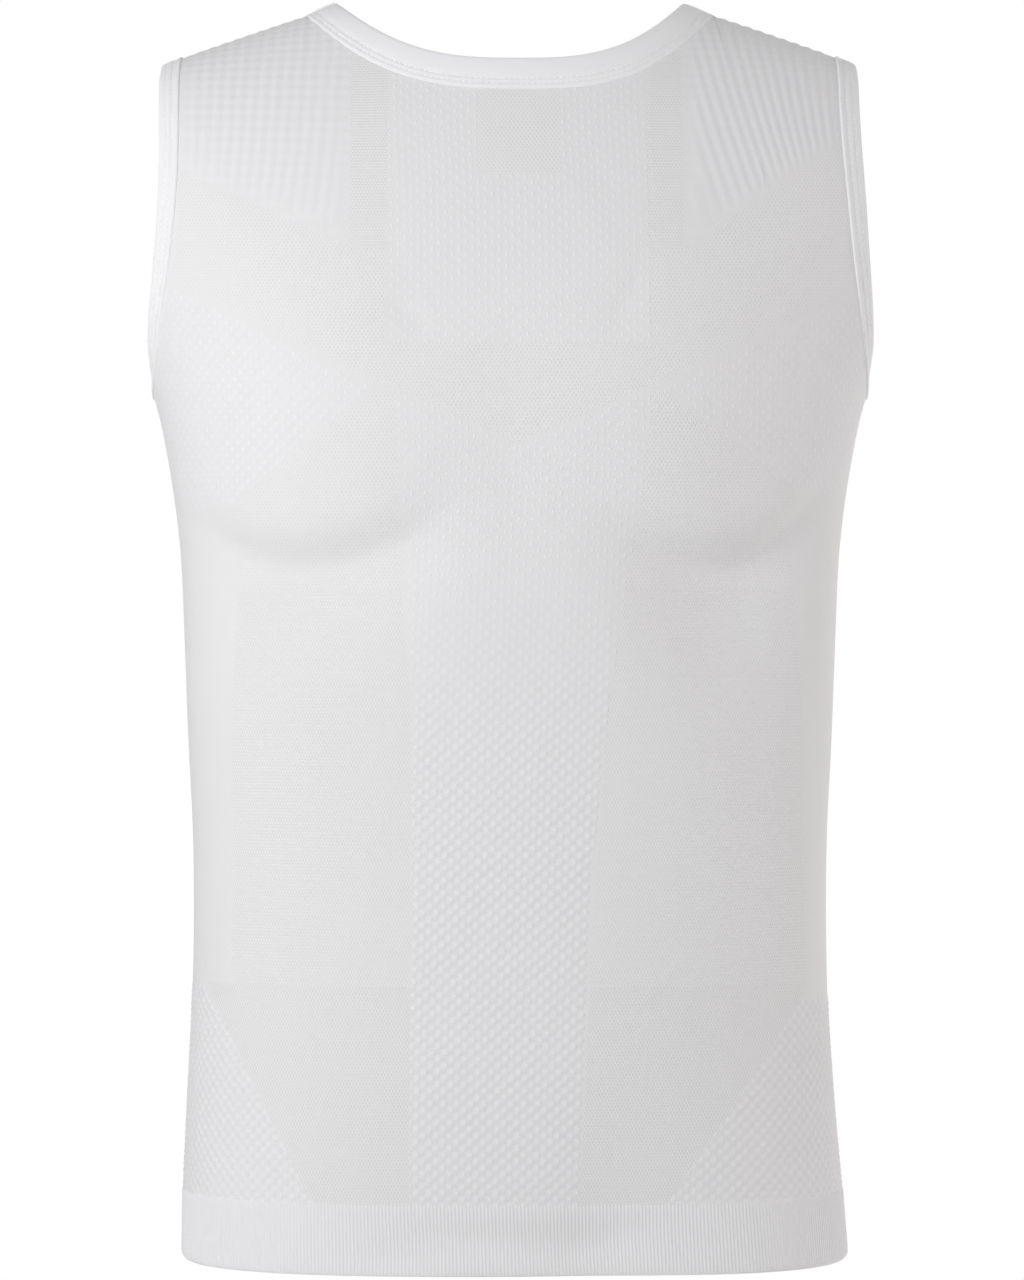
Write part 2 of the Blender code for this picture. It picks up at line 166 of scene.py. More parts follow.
@dataclass(frozen=True)
class BodyForm:
    """The outer surface of the body, worked out from the same sizes as its solids."""

    sections: tuple[Section, ...] = (
        Section(-636, 2.6, 172.6, 108.0, 104.0),
        Section(-600, 1.4, 170.9, 106.5, 102.5),
        Section(-554, 0.4, 167.7, 103.5, 98.0),
        Section(-507, 0.0, 165.1, 101.5, 91.5),
        Section(-461, 0.0, 164.1, 100.5, 86.5),
        Section(-414, 0.0, 164.6, 100.5, 84.5),
        Section(-367, 0.0, 166.9, 101.5, 87.0),
        Section(-320, 0.0, 168.7, 103.0, 92.5),
        Section(-273, 0.0, 170.8, 105.5, 98.5),
        Section(-242, 0.0, 174.2, 108.0, 102.0),
        Section(-211, 0.0, 179.4, 110.5, 104.5),
        Section(-197, 0.0, 182.6, 111.5, 105.5),
        Section(-180, 0.2, 187.5, 112.0, 106.0),
        Section(-150, 0.5, 196.0, 112.0, 106.0),
        Section(-117, 0.9, 203.5, 112.0, 106.0),
        Section(-86, 0.9, 210.0, 112.0, 106.0),
        Section(-40, -0.4, 218.5, 112.0, 106.0),
        Section(-20, -0.6, 221.0, 112.0, 106.0),
        Section(40, -0.6, 221.0, 112.0, 106.0),
    )
    section_power: float = 2.4
    armhole_foot: float = -190.0
    shoulder_slope: float = 0.375
    shoulder_apex: float = 54.6
    shoulder_round: float = 60.0
    shoulder_turn: float = math.radians(50.0)
    armhole_hook: float = 0.55          # how fast the armhole leaves the side line at its foot
    armhole_straightness: float = 1.6
    neck_half_width: float = 105.6
    neck_power: float = 2.9
    neck_opening_half_width: float = 90.0
    neck_opening_top: float = 15.6
    neck_opening_inset: float = 0.93
    neck_drift: float = 5.0
    wall: float = 1.3
    half_gap: float = 0.04              # front and back nearly touch, as the real tube runs on
    hem_top: float = -599.5
    hem_bottom: float = -635.0
    hem_side_lift: float = 3.0
    hem_side_power: int = 8
    hem_half_gap: float = 0.15          # half of the gap at the hem seam
    chest_fullness: float = 6.5
    chest_centre: float = 98.0
    chest_spread: float = 62.0
    chest_height: float = -222.0
    chest_rise: float = 95.0
    chest_fall: float = 38.0
    rib_pitch: float = 6.2
    rib_fade: float = 5.0
    rib_margin: float = 1.5             # plain knit between the last rib and the armhole seam
    rib_first: float = 74.0
    turnout_end: float = -112.0
    turnout_fade: float = 85.0
    turnout_skew: float = 1.15
    ribs_left: RibPanel = RibPanel(
        lean=3.0, inner_edge=83.0, low_inner=-111.0, low_outer=-76.0, relief=0.36
    )
    ribs_right: RibPanel = RibPanel(
        lean=13.0, inner_edge=91.0, low_inner=-112.0, low_outer=-60.0, relief=0.52
    )
    bisections: int = 40
    tolerance: float = 1e-6

    def size_at(self, name: str, height: Values) -> Values:
        """One size of the level sections at any heights, along a smooth curve through the rows."""
        heights = np.array([section.height for section in self.sections], dtype=float)
        sizes = np.array([getattr(section, name) for section in self.sections], dtype=float)
        slopes = np.empty_like(sizes)
        slopes[1:-1] = (sizes[2:] - sizes[:-2]) / (heights[2:] - heights[:-2])
        slopes[0] = (sizes[1] - sizes[0]) / (heights[1] - heights[0])
        slopes[-1] = (sizes[-1] - sizes[-2]) / (heights[-1] - heights[-2])
        height = np.clip(height, heights[0], heights[-1])
        low = np.clip(np.searchsorted(heights, height, side="right") - 1, 0, len(heights) - 2)
        span = heights[low + 1] - heights[low]
        t = (height - heights[low]) / span
        return (
            sizes[low] * (1 + 2 * t) * (1 - t) ** 2
            + sizes[low + 1] * t * t * (3 - 2 * t)
            + slopes[low] * span * t * (1 - t) ** 2
            - slopes[low + 1] * span * t * t * (1 - t)
        )

    def shoulder_height(self, across: Values) -> Values:
        """Height of the shoulder line at a distance from the centre plane."""
        return self.shoulder_apex - self.shoulder_slope * np.hypot(across, self.shoulder_round)

    def shoulder_across(self, column: Values) -> Values:
        """Where a column, from -1 to 1, meets the shoulder line."""
        turn = np.asarray(column) * self.shoulder_turn
        return self.size_at("centre", 0) + self.size_at("half_width", 0) * np.sin(turn)

    def column_at(self, across: Values) -> Values:
        """The column that meets the shoulder line at this distance from the centre plane."""
        off_centre = np.asarray(across) - self.size_at("centre", 0)
        return np.arcsin(off_centre / self.size_at("half_width", 0)) / self.shoulder_turn

    def edge_turn(self, height: Values) -> Values:
        """Section angle of a half's edge: the side line, and above it the armhole seam."""
        side = math.pi / 2
        reach = self.size_at("half_width", 0) * math.sin(self.shoulder_turn)
        top = self.shoulder_height(reach)
        climb = np.clip((height - self.armhole_foot) / (top - self.armhole_foot), 0.0, 1.0)
        hook = (1 - climb**self.armhole_hook) ** self.armhole_straightness
        return self.shoulder_turn + (side - self.shoulder_turn) * hook

    def across_at(self, column: Values, height: Values) -> Values:
        """Distance from the centre plane of a column at a height, with the ribs' lean."""
        across = self.size_at("half_width", height) * np.sin(column * self.edge_turn(height))
        across = across + self.size_at("centre", height)
        top = self.shoulder_across(column)
        share = np.minimum(1.0, np.abs(top / self.shoulder_across(np.where(column < 0, -1, 1))))
        lean = np.radians(np.where(column < 0, self.ribs_left.lean, self.ribs_right.lean))
        lean = lean * np.sin(math.pi * share**self.turnout_skew)
        fade = 1 - smooth((self.turnout_end - height) / self.turnout_fade)
        drop = self.shoulder_height(top) - height
        above = height > self.armhole_foot
        return across + np.where(above, np.copysign(np.tan(lean) * drop * fade, column), 0.0)

    def neck_share(self, across: Values) -> Values:
        """0 at the lowest point of the neck seam, 1 at its ends on the shoulders."""
        share = np.minimum(1.0, np.abs(across) / self.neck_half_width)
        return np.abs(across - self.neck_drift * (1 - share**2)) / self.neck_half_width

    def neck_height(self, across: Values, half: Half) -> Values:
        """Height of the neck seam."""
        end = self.shoulder_height(self.neck_half_width)
        start = half.value.neck_seam
        return start + (end - start) * self.neck_share(across) ** self.neck_power

    def column_top(self, column: Values, half: Half) -> Values:
        """Height where columns end: at the neck seam, or outside it at the shoulder line."""
        top = self.shoulder_height(self.shoulder_across(column))
        low, high = np.full_like(top, self.armhole_foot), top.copy()
        for _ in range(self.bisections):
            middle = (low + high) / 2
            below = middle < self.neck_height(self.across_at(column, middle), half)
            low, high = np.where(below, middle, low), np.where(below, high, middle)
        outside = np.abs(self.shoulder_across(column)) >= self.neck_half_width - self.tolerance
        return np.where(outside, top, low)

    def chest(self, across: Values, height: Values, half: Half) -> Values:
        """Soft fullness over the chest, front only, with a shallow hollow at the centre."""
        if half is not Half.FRONT:
            return np.zeros_like(across)
        reach = np.where(height > self.chest_height, self.chest_rise, self.chest_fall)
        level = np.exp(-(((height - self.chest_height) / reach) ** 2))
        spread = np.exp(-(((np.abs(across) - self.chest_centre) / self.chest_spread) ** 2))
        return self.chest_fullness * level * spread

    def rounding(self, across: Values, height: Values) -> Values:
        """Depth of a level section at a distance across, as a share of its depth at the middle."""
        off_centre = np.abs(across - self.size_at("centre", height))
        reach = np.minimum(1.0, off_centre / self.size_at("half_width", height))
        return (1 - reach**self.section_power) ** (1 / self.section_power)

    def surface(self, columns: Values, rows: Values, half: Half) -> Points:
        """Outer surface of one half of the body.

        Args:
            columns: from -1 to 1, edge to edge.
            rows: heights in millimetres up to the armhole's foot, and above it shares from 0 to 1
                of the way to the neck seam or the shoulder seam.
            half: front or back.

        Returns:
            Points in millimetres, rows by columns by 3.
        """
        column, row = np.meshgrid(columns, rows)
        sizes = half.value
        lower = row < -1
        line = self.shoulder_height(self.shoulder_across(column)) - self.armhole_foot
        top = self.column_top(np.asarray(columns, dtype=float), half)[None, :]
        share = np.minimum(1.0, (top - self.armhole_foot) / line)
        rise = np.where(lower, 0.0, np.sin(np.where(lower, 0.0, row) * np.arcsin(share)))
        height = np.where(lower, row, self.armhole_foot + line * rise)
        power = sizes.roll_centre + (sizes.roll_armhole - sizes.roll_centre) * column**2
        roll = np.maximum(0.0, 1 - rise**power) ** (1 / power)
        across = self.across_at(column, height)
        depth = self.size_at(sizes.depth, height) - self.half_gap + self.chest(across, height, half)
        out = sizes.outward * (self.half_gap + depth * self.rounding(across, height) * roll)
        return np.stack((across, out, height), axis=-1)

    def normals(self, points: Points, half: Half) -> Points:
        """Unit normals of a grid of surface points, in the seam's plane at the edges."""
        along = np.gradient(points, axis=1)
        up = np.gradient(points, axis=0)
        normal = np.cross(along, up) * -half.value.outward
        on_seam = np.abs(points[..., 1]) < 2 * self.half_gap
        normal[..., 1] = np.where(on_seam, 0.0, normal[..., 1])
        return unit(normal)

    def rib_relief_at(self, columns: Values, points: Points) -> Values:
        """How far the shoulder ribs stand out at each point of a grid."""
        top = np.broadcast_to(np.abs(self.shoulder_across(columns)), points.shape[:2])
        across, height = np.abs(points[..., 0]), points[..., 2]
        relief = np.zeros(points.shape[:2])
        for side, panel in ((-1, self.ribs_left), (1, self.ribs_right)):
            outer = abs(float(self.shoulder_across(side)))
            along = np.clip((across - panel.inner_edge) / (outer - panel.inner_edge), 0, 1)
            low_edge = panel.low_inner + (panel.low_outer - panel.low_inner) * along
            inside = np.minimum(across - panel.inner_edge, outer - self.rib_margin - top)
            inside = np.minimum(inside, height - low_edge)
            crest = 0.5 + 0.5 * np.cos(2 * math.pi * (top - self.rib_first) / self.rib_pitch)
            here = panel.relief * crest * smooth(inside / self.rib_fade)
            relief = np.where(points[..., 0] * side > 0, here, relief)
        return relief


FORM = BodyForm()


# ================================================================ knit zones
class Knit(Enum):
    """The structures that the machine knits into the body, each an attribute on its mesh."""

    PINHOLE = "knit_pinhole"
    LADDER = "knit_ladder"
    DOTS = "knit_dots"
    DASH = "knit_dash"
    BLISTER = "knit_blister"
    RIBS = "knit_ribs"


CLOTH_MAP = "cloth"             # uv map: distances along the cloth, in metres
BLOOM = "blister_bloom"         # attribute: 0 where a cell is a thin dash, 1 at a round blister


@dataclass(frozen=True)
class Zone:
    """An area of one knit structure, as an outline seen from the front, in (across, height)."""

    knit: Knit
    outline: tuple[tuple[float, float], ...]

    def mirrored(self) -> "Zone":
        """The same zone on the other side of the garment."""
        return Zone(self.knit, tuple((-across, height) for across, height in self.outline))

    def depth_inside(self, across: Values, height: Values) -> Values:
        """Signed distance from the outline, positive inside it."""
        corners = np.array(self.outline, dtype=float)
        nearest = np.full(across.shape, np.inf)
        inside = np.zeros(across.shape, dtype=bool)
        for (x0, z0), (x1, z1) in zip(corners, np.roll(corners, -1, axis=0)):
            dx, dz = x1 - x0, z1 - z0
            t = np.clip(((across - x0) * dx + (height - z0) * dz) / (dx * dx + dz * dz), 0, 1)
            nearest = np.minimum(nearest, np.hypot(across - x0 - t * dx, height - z0 - t * dz))
            crosses = (z0 > height) != (z1 > height)
            rise = dz if dz else TINY
            inside ^= crosses & (across < x0 + (height - z0) * dx / rise)
        return np.where(inside, nearest, -nearest)


@dataclass(frozen=True)
class Crease:
    """A soft trough or ridge in the cloth, along a straight line seen from the front."""

    start: tuple[float, float]
    end: tuple[float, float]
    width: float
    depth: float
    fade: float = 0.4           # share of its length that each end takes to fade in

    def lift(self, across: Values, height: Values) -> Values:
        """How far the cloth moves out at each point, in millimetres."""
        (x0, z0), (x1, z1) = self.start, self.end
        dx, dz = x1 - x0, z1 - z0
        length = math.hypot(dx, dz)
        along = ((across - x0) * dx + (height - z0) * dz) / length
        beside = ((across - x0) * dz - (height - z0) * dx) / length
        fade = self.fade * length
        ends = smooth(along / fade) * smooth((length - along) / fade)
        return self.depth * ends * np.exp(-((beside / self.width) ** 2))


@dataclass(frozen=True)
class Fold:
    """A soft trough or ridge in the cloth, along a curved line seen from the front.

    The line runs from left to right, as (across, height, depth) points.
    """

    line: tuple[tuple[float, float, float], ...]
    above: float
    below: float
    ease: float = 14.0          # the line's corners are rounded over this distance
    samples: int = 9

    def lift(self, across: Values, height: Values) -> Values:
        """How far the cloth moves out at each point, in millimetres."""
        places, heights, depths = np.array(self.line, dtype=float).T
        near = across[..., None] + self.ease * np.linspace(-1, 1, self.samples)
        line = np.interp(near, places, heights).mean(axis=-1)
        depth = np.interp(near, places, depths, left=0.0, right=0.0).mean(axis=-1)
        over = height - line
        return depth * np.exp(-((over / np.where(over > 0, self.above, self.below)) ** 2))


@dataclass(frozen=True)
class Lattice:
    """A repeat of cells in rows, each row half a cell on from the one below it."""

    wide: float
    tall: float

    def cells(self, u: Values, v: Values) -> Values:
        """1 at each cell's centre and -1 between the cells."""
        return np.cos(2 * math.pi * u / self.wide) * np.cos(2 * math.pi * v / self.tall)


# The repeats are real sizes in millimetres, measured in the photo.
BLISTER_CELLS = Lattice(wide=6.8, tall=6.4)     # the dashes lie on the same cells
DOT_CELLS = Lattice(wide=1.7, tall=3.2)
PINHOLE_CELLS = Lattice(wide=2.05, tall=3.3)
LADDER_CELLS = Lattice(wide=1.65, tall=3.3)


# ================================================================ finishes
def add_node(
    tree: bpy.types.NodeTree,
    kind: str,
    inputs: dict[int | str, object] | None = None,
    output: int | str = 0,
    **settings: object,
) -> Socket:
    """Adds one node with its settings and its links.

    Args:
        tree: the material's node tree.
        kind: the node's type.
        inputs: for each input, a value, or the socket that feeds it.
        output: the node's output that is wanted.
        settings: the node's own options by name.

    Returns:
        The wanted output.
    """
    node = tree.nodes.new(kind)
    for name, value in settings.items():
        setattr(node, name, value)
    for key, source in (inputs or {}).items():
        if isinstance(source, Socket):
            tree.links.new(source, node.inputs[key])
        else:
            node.inputs[key].default_value = source
    return node.outputs[output]


def add_noise(tree: bpy.types.NodeTree, scale: float, detail: float = 2.0) -> Socket:
    """Adds a soft noise that lies still on the object, with its scale to the metre."""
    place = add_node(tree, "ShaderNodeTexCoord", output="Object")
    inputs = {"Vector": place, "Scale": scale, "Detail": detail}
    return add_node(tree, "ShaderNodeTexNoise", inputs, output="Fac")


def start_material(
    name: str, values: dict[str, object]
) -> tuple[bpy.types.Material, bpy.types.Node]:
    """Makes a material and sets some inputs of its surface shader.

    Args:
        name: the material's name.
        values: the value of each input, by its name.

    Returns:
        The material and its surface shader.
    """
    material = bpy.data.materials.new(name)
    material.use_nodes = True
    surface = material.node_tree.nodes["Principled BSDF"]
    for key, value in values.items():
        surface.inputs[key].default_value = value
    return material, surface


@dataclass
class KnitShader:
    """Builds the relief of a knit, in millimetres, from the piece's own map of the cloth, with the
    shade and highlights painted on its cells.
    """

    tree: bpy.types.NodeTree
    across: Socket = field(init=False)
    along: Socket = field(init=False)
    relief: Socket | float = 0.0
    # where shade is painted: in the knit's holes and in the hollows between its cells
    holes: Socket | float = 0.0
    # where highlights are painted: on the raised threads that catch the light
    painted_highlights: Socket | float = 0.0
    bright_zones: Socket | float = 0.0

    def __post_init__(self) -> None:
        """Reads the cloth's map, which is in metres from the centre line and from the hem."""
        uv = add_node(self.tree, "ShaderNodeUVMap", uv_map=CLOTH_MAP)
        parts = add_node(self.tree, "ShaderNodeSeparateXYZ", {0: uv}).node.outputs
        self.across = self.product(parts[0], 1 / MM)
        self.along = self.product(parts[1], 1 / MM)

    def product(self, *factors: Socket | float) -> Socket:
        """All the factors multiplied."""
        result, *others = factors
        for factor in others:
            inputs = {0: result, 1: factor}
            result = add_node(self.tree, "ShaderNodeMath", inputs, operation="MULTIPLY")
        return result

    def between(self, value: Socket, low: float, high: float) -> Socket:
        """0 below low, 1 above high and a soft step from one to the other."""
        inputs = {0: value, 1: low, 2: high, 3: 0.0, 4: 1.0}
        return add_node(self.tree, "ShaderNodeMapRange", inputs, interpolation_type="SMOOTHSTEP")

    def wave(self, distance: Socket, pitch: float) -> Socket:
        """A cosine of the distance, from -1 to 1."""
        turn = self.product(distance, 2 * math.pi / pitch)
        return add_node(self.tree, "ShaderNodeMath", {0: turn}, operation="COSINE")

    def cells(self, lattice: Lattice) -> tuple[Socket, Socket]:
        """The lattice's cells, 1 at each centre, and its wave across the cloth alone."""
        sideways = self.wave(self.across, lattice.wide)
        return self.product(sideways, self.wave(self.along, lattice.tall)), sideways

    def zone(self, knit: Knit, edge: float = 0.6) -> Socket:
        """1 where the mesh says that this knit is, with an edge this many millimetres wide."""
        inside = add_node(self.tree, "ShaderNodeAttribute", output="Fac", attribute_name=knit.value)
        return self.between(inside, -edge / 2, edge / 2)

    def raise_by(self, height: float, *shapes: Socket) -> None:
        """Adds a height in millimetres to the relief, times shapes such as cells and a zone."""
        inputs = {0: self.product(*shapes), 1: height, 2: self.relief}
        self.relief = add_node(self.tree, "ShaderNodeMath", inputs, operation="MULTIPLY_ADD")

    def marked(self, marks: Socket | float, *shapes: Socket | float) -> Socket:
        """The marks made so far, or the shapes multiplied where those are more."""
        inputs = {0: marks, 1: self.product(*shapes)}
        return add_node(self.tree, "ShaderNodeMath", inputs, operation="MAXIMUM")

    def paint_shade(self, share: float, *shapes: Socket) -> None:
        """Marks painted shade in the knit's holes and in the hollows between its cells, where
        little light reaches.
        """
        self.holes = self.marked(self.holes, *shapes, share)

    def paint_highlight(self, share: float, *shapes: Socket) -> None:
        """Marks painted highlights on raised threads, where they catch the light."""
        self.painted_highlights = self.marked(self.painted_highlights, *shapes, share)

    def lay_bright_yarn(self, where: Socket) -> None:
        """Marks a zone where the brighter of the two yarns lies outside."""
        self.bright_zones = self.marked(self.bright_zones, where)


@dataclass(frozen=True)
class Cells:
    """How the cells of one knit show: relief in millimetres, a share of painted shade in their
    hollows and a share of painted highlight on their raised parts.
    """

    relief: float
    darker: float = 0.0
    brighter: float = 0.0


@dataclass(frozen=True)
class KnitFinish:
    """A knitted or sewn white yarn, which scatters light softly and has a faint sheen."""

    name: str
    yarn: str
    # the darker colour mixed in: for the yarn's grey tone and random unevenness, and for painted
    # shade
    shade: str
    bright_yarn: str = ""
    roughness: float = 0.88
    refraction: float = 1.5
    specular: float = 0.25
    sheen: float = 0.12
    sheen_roughness: float = 0.5
    stitch_wide: float = 1.3
    stitch_tall: float = 1.1
    stitch_relief: float = 0.05
    fuzz: float = 0.05
    fuzz_scale: float = 1400.0      # to the metre, which gives tufts of about 0.7 mm
    fuzz_detail: float = 3.0
    greying: float = 0.05           # share of the shade colour all over, an even grey tone of the yarn, which the painted highlights take away on raised threads
    unevenness: float = 0.05
    unevenness_scale: float = 14.0

    def build(self) -> bpy.types.Material:
        """Makes the material: its plain grain, the knit's own cells and its colours."""
        material, surface, knit = self.start()
        self.lay_cells(knit)
        self.finish(surface, knit)
        return material

    def lay_cells(self, knit: KnitShader) -> None:
        """Adds the cells of a patterned knit, which a plain one doesn't have."""

    def start(self) -> tuple[bpy.types.Material, bpy.types.Node, KnitShader]:
        """Makes the material with its plain knit grain.

        Returns:
            The material, its surface shader and the relief to add to.
        """
        values = {
            "Roughness": self.roughness,
            "IOR": self.refraction,
            "Specular IOR Level": self.specular,
            "Sheen Weight": self.sheen,
            "Sheen Roughness": self.sheen_roughness,
        }
        material, surface = start_material(self.name, values)
        knit = KnitShader(material.node_tree)
        grain, _ = knit.cells(Lattice(self.stitch_wide, self.stitch_tall))
        knit.raise_by(self.stitch_relief, grain)
        knit.raise_by(self.fuzz, add_noise(knit.tree, self.fuzz_scale, self.fuzz_detail))
        return material, surface, knit

    def finish(self, surface: bpy.types.Node, knit: KnitShader) -> None:
        """Links the colours and the relief to the surface shader."""
        tree = knit.tree
        cloud = add_noise(tree, self.unevenness_scale)
        inputs = {0: cloud, 1: self.unevenness, 2: self.greying}
        tint = add_node(tree, "ShaderNodeMath", inputs, operation="MULTIPLY_ADD")
        # painted shade in the holes and hollows darkens the colour, and painted highlights on
        # raised threads lighten it
        tint = add_node(tree, "ShaderNodeMath", {0: tint, 1: knit.holes}, operation="ADD")
        tint = add_node(tree, "ShaderNodeMath", {0: tint, 1: knit.painted_highlights}, operation="SUBTRACT")
        colour = linear_colour(self.yarn)
        bright_yarn = self.bright_yarn or self.yarn
        for share, other in ((knit.bright_zones, bright_yarn), (tint, self.shade)):
            inputs = {0: share, 6: colour, 7: linear_colour(other)}
            colour = add_node(
                tree, "ShaderNodeMix", inputs, output=2, data_type="RGBA", clamp_factor=True
            )
        tree.links.new(colour, surface.inputs["Base Color"])
        inputs = {"Strength": 1.0, "Distance": MM, "Height": knit.relief}
        tree.links.new(add_node(tree, "ShaderNodeBump", inputs), surface.inputs["Normal"])


@dataclass(frozen=True)
class JacquardKnit(KnitFinish):
    """Polyamide and elastane jacquard, knitted in the round: matt, with sunk and raised cells."""

    name: str = "polyamide_jacquard_knit"
    yarn: str = "F3F2F3"
    bright_yarn: str = "F3F2F4"
    shade: str = "8A8888"
    pinholes: Cells = Cells(-0.11, 0.06, 0.025)
    ladder: Cells = Cells(0.08, 0.02)
    rungs: Cells = Cells(-0.11, 0.08, 0.085)
    dots: Cells = Cells(0.15, 0.12, 0.12)
    dashes: Cells = Cells(0.17, brighter=0.07)
    thin_dashes: Cells = Cells(0.17, brighter=0.06)
    blisters: Cells = Cells(0.2, 0.07)
    blister_dashes: Cells = Cells(0.1, brighter=0.09)
    rib_waves: Cells = Cells(0.06)
    dash_narrowness: float = 6.0

    def lay_cells(self, knit: KnitShader) -> None:
        """Adds the cells of every knit zone, which come from the mesh."""
        self.lay_flat_knits(knit)
        self.lay_raised_knits(knit)

    def lay_flat_knits(self, knit: KnitShader) -> None:
        """Adds the knits with sunk or small cells: pinholes, ladder and dots, with painted shade in
        their hollows and painted highlights on their raised parts.

        The limits of each soft step are levels of a wave that runs from -1 to 1.
        """
        holes = knit.between(knit.cells(PINHOLE_CELLS)[0], 0.1, 0.9)
        where = knit.zone(Knit.PINHOLE)
        knit.raise_by(self.pinholes.relief, holes, where)
        # painted shade in the pinholes, and a painted highlight on the cloth round them
        knit.paint_shade(self.pinholes.darker, holes, where)
        knit.paint_highlight(self.pinholes.brighter, knit.between(holes, 0.6, 0.0), where)

        ladder = knit.wave(knit.along, LADDER_CELLS.tall / 2)
        rungs, _ = knit.cells(LADDER_CELLS)
        where = knit.zone(Knit.LADDER)
        knit.raise_by(self.ladder.relief, ladder, where)
        # painted shade in the ladder's grooves
        knit.paint_shade(self.ladder.darker, knit.between(ladder, 0.2, -1.0), where)
        knit.raise_by(self.rungs.relief, knit.between(rungs, 0.0, 1.0), where)
        # painted shade in the sunk rungs, and a painted highlight on the cloth between them
        knit.paint_shade(self.rungs.darker, knit.between(rungs, 0.2, 1.0), where)
        knit.paint_highlight(self.rungs.brighter, knit.between(rungs, 0.2, -0.8), where)

        dots, _ = knit.cells(DOT_CELLS)
        where = knit.zone(Knit.DOTS)
        knit.raise_by(self.dots.relief, knit.between(dots, 0.0, 0.9), where)
        # a painted highlight on the raised dots, and painted shade between them
        knit.paint_highlight(self.dots.brighter, knit.between(dots, 0.2, 0.9), where)
        knit.paint_shade(self.dots.darker, knit.between(dots, 0.1, -0.9), where)

    def lay_raised_knits(self, knit: KnitShader) -> None:
        """Adds the knits with the bright yarn outside: dashes, ribs and blisters, with painted
        highlights on the dashes and painted shade between the blisters.
        """
        tree = knit.tree
        cells, sideways = knit.cells(BLISTER_CELLS)
        narrow = add_node(tree, "ShaderNodeMath", {0: sideways}, operation="ABSOLUTE")
        inputs = {0: narrow, 1: self.dash_narrowness}
        narrow = add_node(tree, "ShaderNodeMath", inputs, operation="POWER")
        dash = knit.product(narrow, knit.between(cells, 0.1, 0.8))
        where = knit.zone(Knit.DASH)
        knit.raise_by(self.dashes.relief, dash, where)
        # a painted highlight on the raised dashes
        knit.paint_highlight(self.dashes.brighter, dash, where)
        knit.lay_bright_yarn(where)

        where = knit.zone(Knit.RIBS)
        knit.raise_by(self.rib_waves.relief, knit.wave(knit.along, 2 * LADDER_CELLS.tall), where)
        knit.lay_bright_yarn(where)

        where = knit.zone(Knit.BLISTER)
        knit.lay_bright_yarn(where)
        bloom = add_node(tree, "ShaderNodeAttribute", output="Fac", attribute_name=BLOOM)
        blisters = knit.product(where, bloom)
        thin = add_node(tree, "ShaderNodeMath", {0: where, 1: blisters}, operation="SUBTRACT")
        knit.raise_by(self.thin_dashes.relief, dash, thin)
        # a painted highlight on the thin dashes
        knit.paint_highlight(self.thin_dashes.brighter, dash, thin)
        knit.raise_by(self.blisters.relief, knit.between(cells, -0.2, 0.9), blisters)
        # painted shade between the blisters, and a painted highlight on their dashes
        knit.paint_shade(self.blisters.darker, knit.between(cells, -0.1, -0.9), blisters)
        knit.raise_by(self.blister_dashes.relief, dash, blisters)
        knit.paint_highlight(self.blister_dashes.brighter, dash, blisters)


@dataclass(frozen=True)
class WeltKnit(KnitFinish):
    """Double welt knitted one stitch plain, one stitch back: fine upright ribs."""

    name: str = "polyamide_ribbed_welt"
    yarn: str = "F4F3F5"
    shade: str = "8C8C90"


@dataclass(frozen=True)
class BindingKnit(KnitFinish):
    """Folded elastic rib strip, finer and smoother than the body."""

    name: str = "elastic_rib_binding"
    yarn: str = "FAFAFC"
    shade: str = "8E8E92"
    stitch_wide: float = 1.1
    stitch_relief: float = 0.03


@dataclass(frozen=True)
class SewingThread:
    """Spun polyester thread of the coverstitch: a little brighter than the cloth."""

    name: str = "spun_polyester_thread"
    colour: str = "FDFDFD"
    roughness: float = 0.6
    refraction: float = 1.5
    twist: float = 0.7
    ply_relief: float = 0.1
    ply_strength: float = 0.4

    def build(self) -> bpy.types.Material:
        """Makes the thread's material, with the ply's twist as a fine bump."""
        values = {
            "Roughness": self.roughness,
            "IOR": self.refraction,
            "Base Color": linear_colour(self.colour),
        }
        material, surface = start_material(self.name, values)
        tree = material.node_tree
        ply = add_noise(tree, 1 / (self.twist * MM))
        inputs = {"Strength": self.ply_strength, "Distance": self.ply_relief * MM, "Height": ply}
        tree.links.new(add_node(tree, "ShaderNodeBump", inputs), surface.inputs["Normal"])
        return material


# ================================================================ pieces
def add_piece(
    name: str,
    mesh: bmesh.types.BMesh,
    material: bpy.types.Material,
    cloth: Points | None = None,
    attributes: dict[str, Values] | None = None,
) -> bpy.types.Object:
    """Makes a finished bmesh an object.

    Args:
        name: the piece's name.
        mesh: the shape, in metres. It is freed.
        material: its finish.
        cloth: for each vertex, its place on the cloth's map in millimetres.
        attributes: for each name, one value for each vertex.

    Returns:
        The new object.
    """
    data = bpy.data.meshes.new(name)
    mesh.to_mesh(data)
    mesh.free()
    data.shade_smooth()
    data.set_sharp_from_angle(angle=SHARP_EDGE)
    if cloth is not None:
        corners = np.empty(len(data.loops), dtype=np.int32)
        data.loops.foreach_get("vertex_index", corners)
        layer = data.uv_layers.new(name=CLOTH_MAP)
        layer.data.foreach_set("uv", (cloth[corners] * MM).astype(np.float32).ravel())
    for key, values in (attributes or {}).items():
        data.attributes.new(key, "FLOAT", "POINT").data.foreach_set(
            "value", np.asarray(values, dtype=np.float32)
        )
    data.materials.append(material)
    piece = add_object(name, data)
    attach(piece, BODY)
    return piece


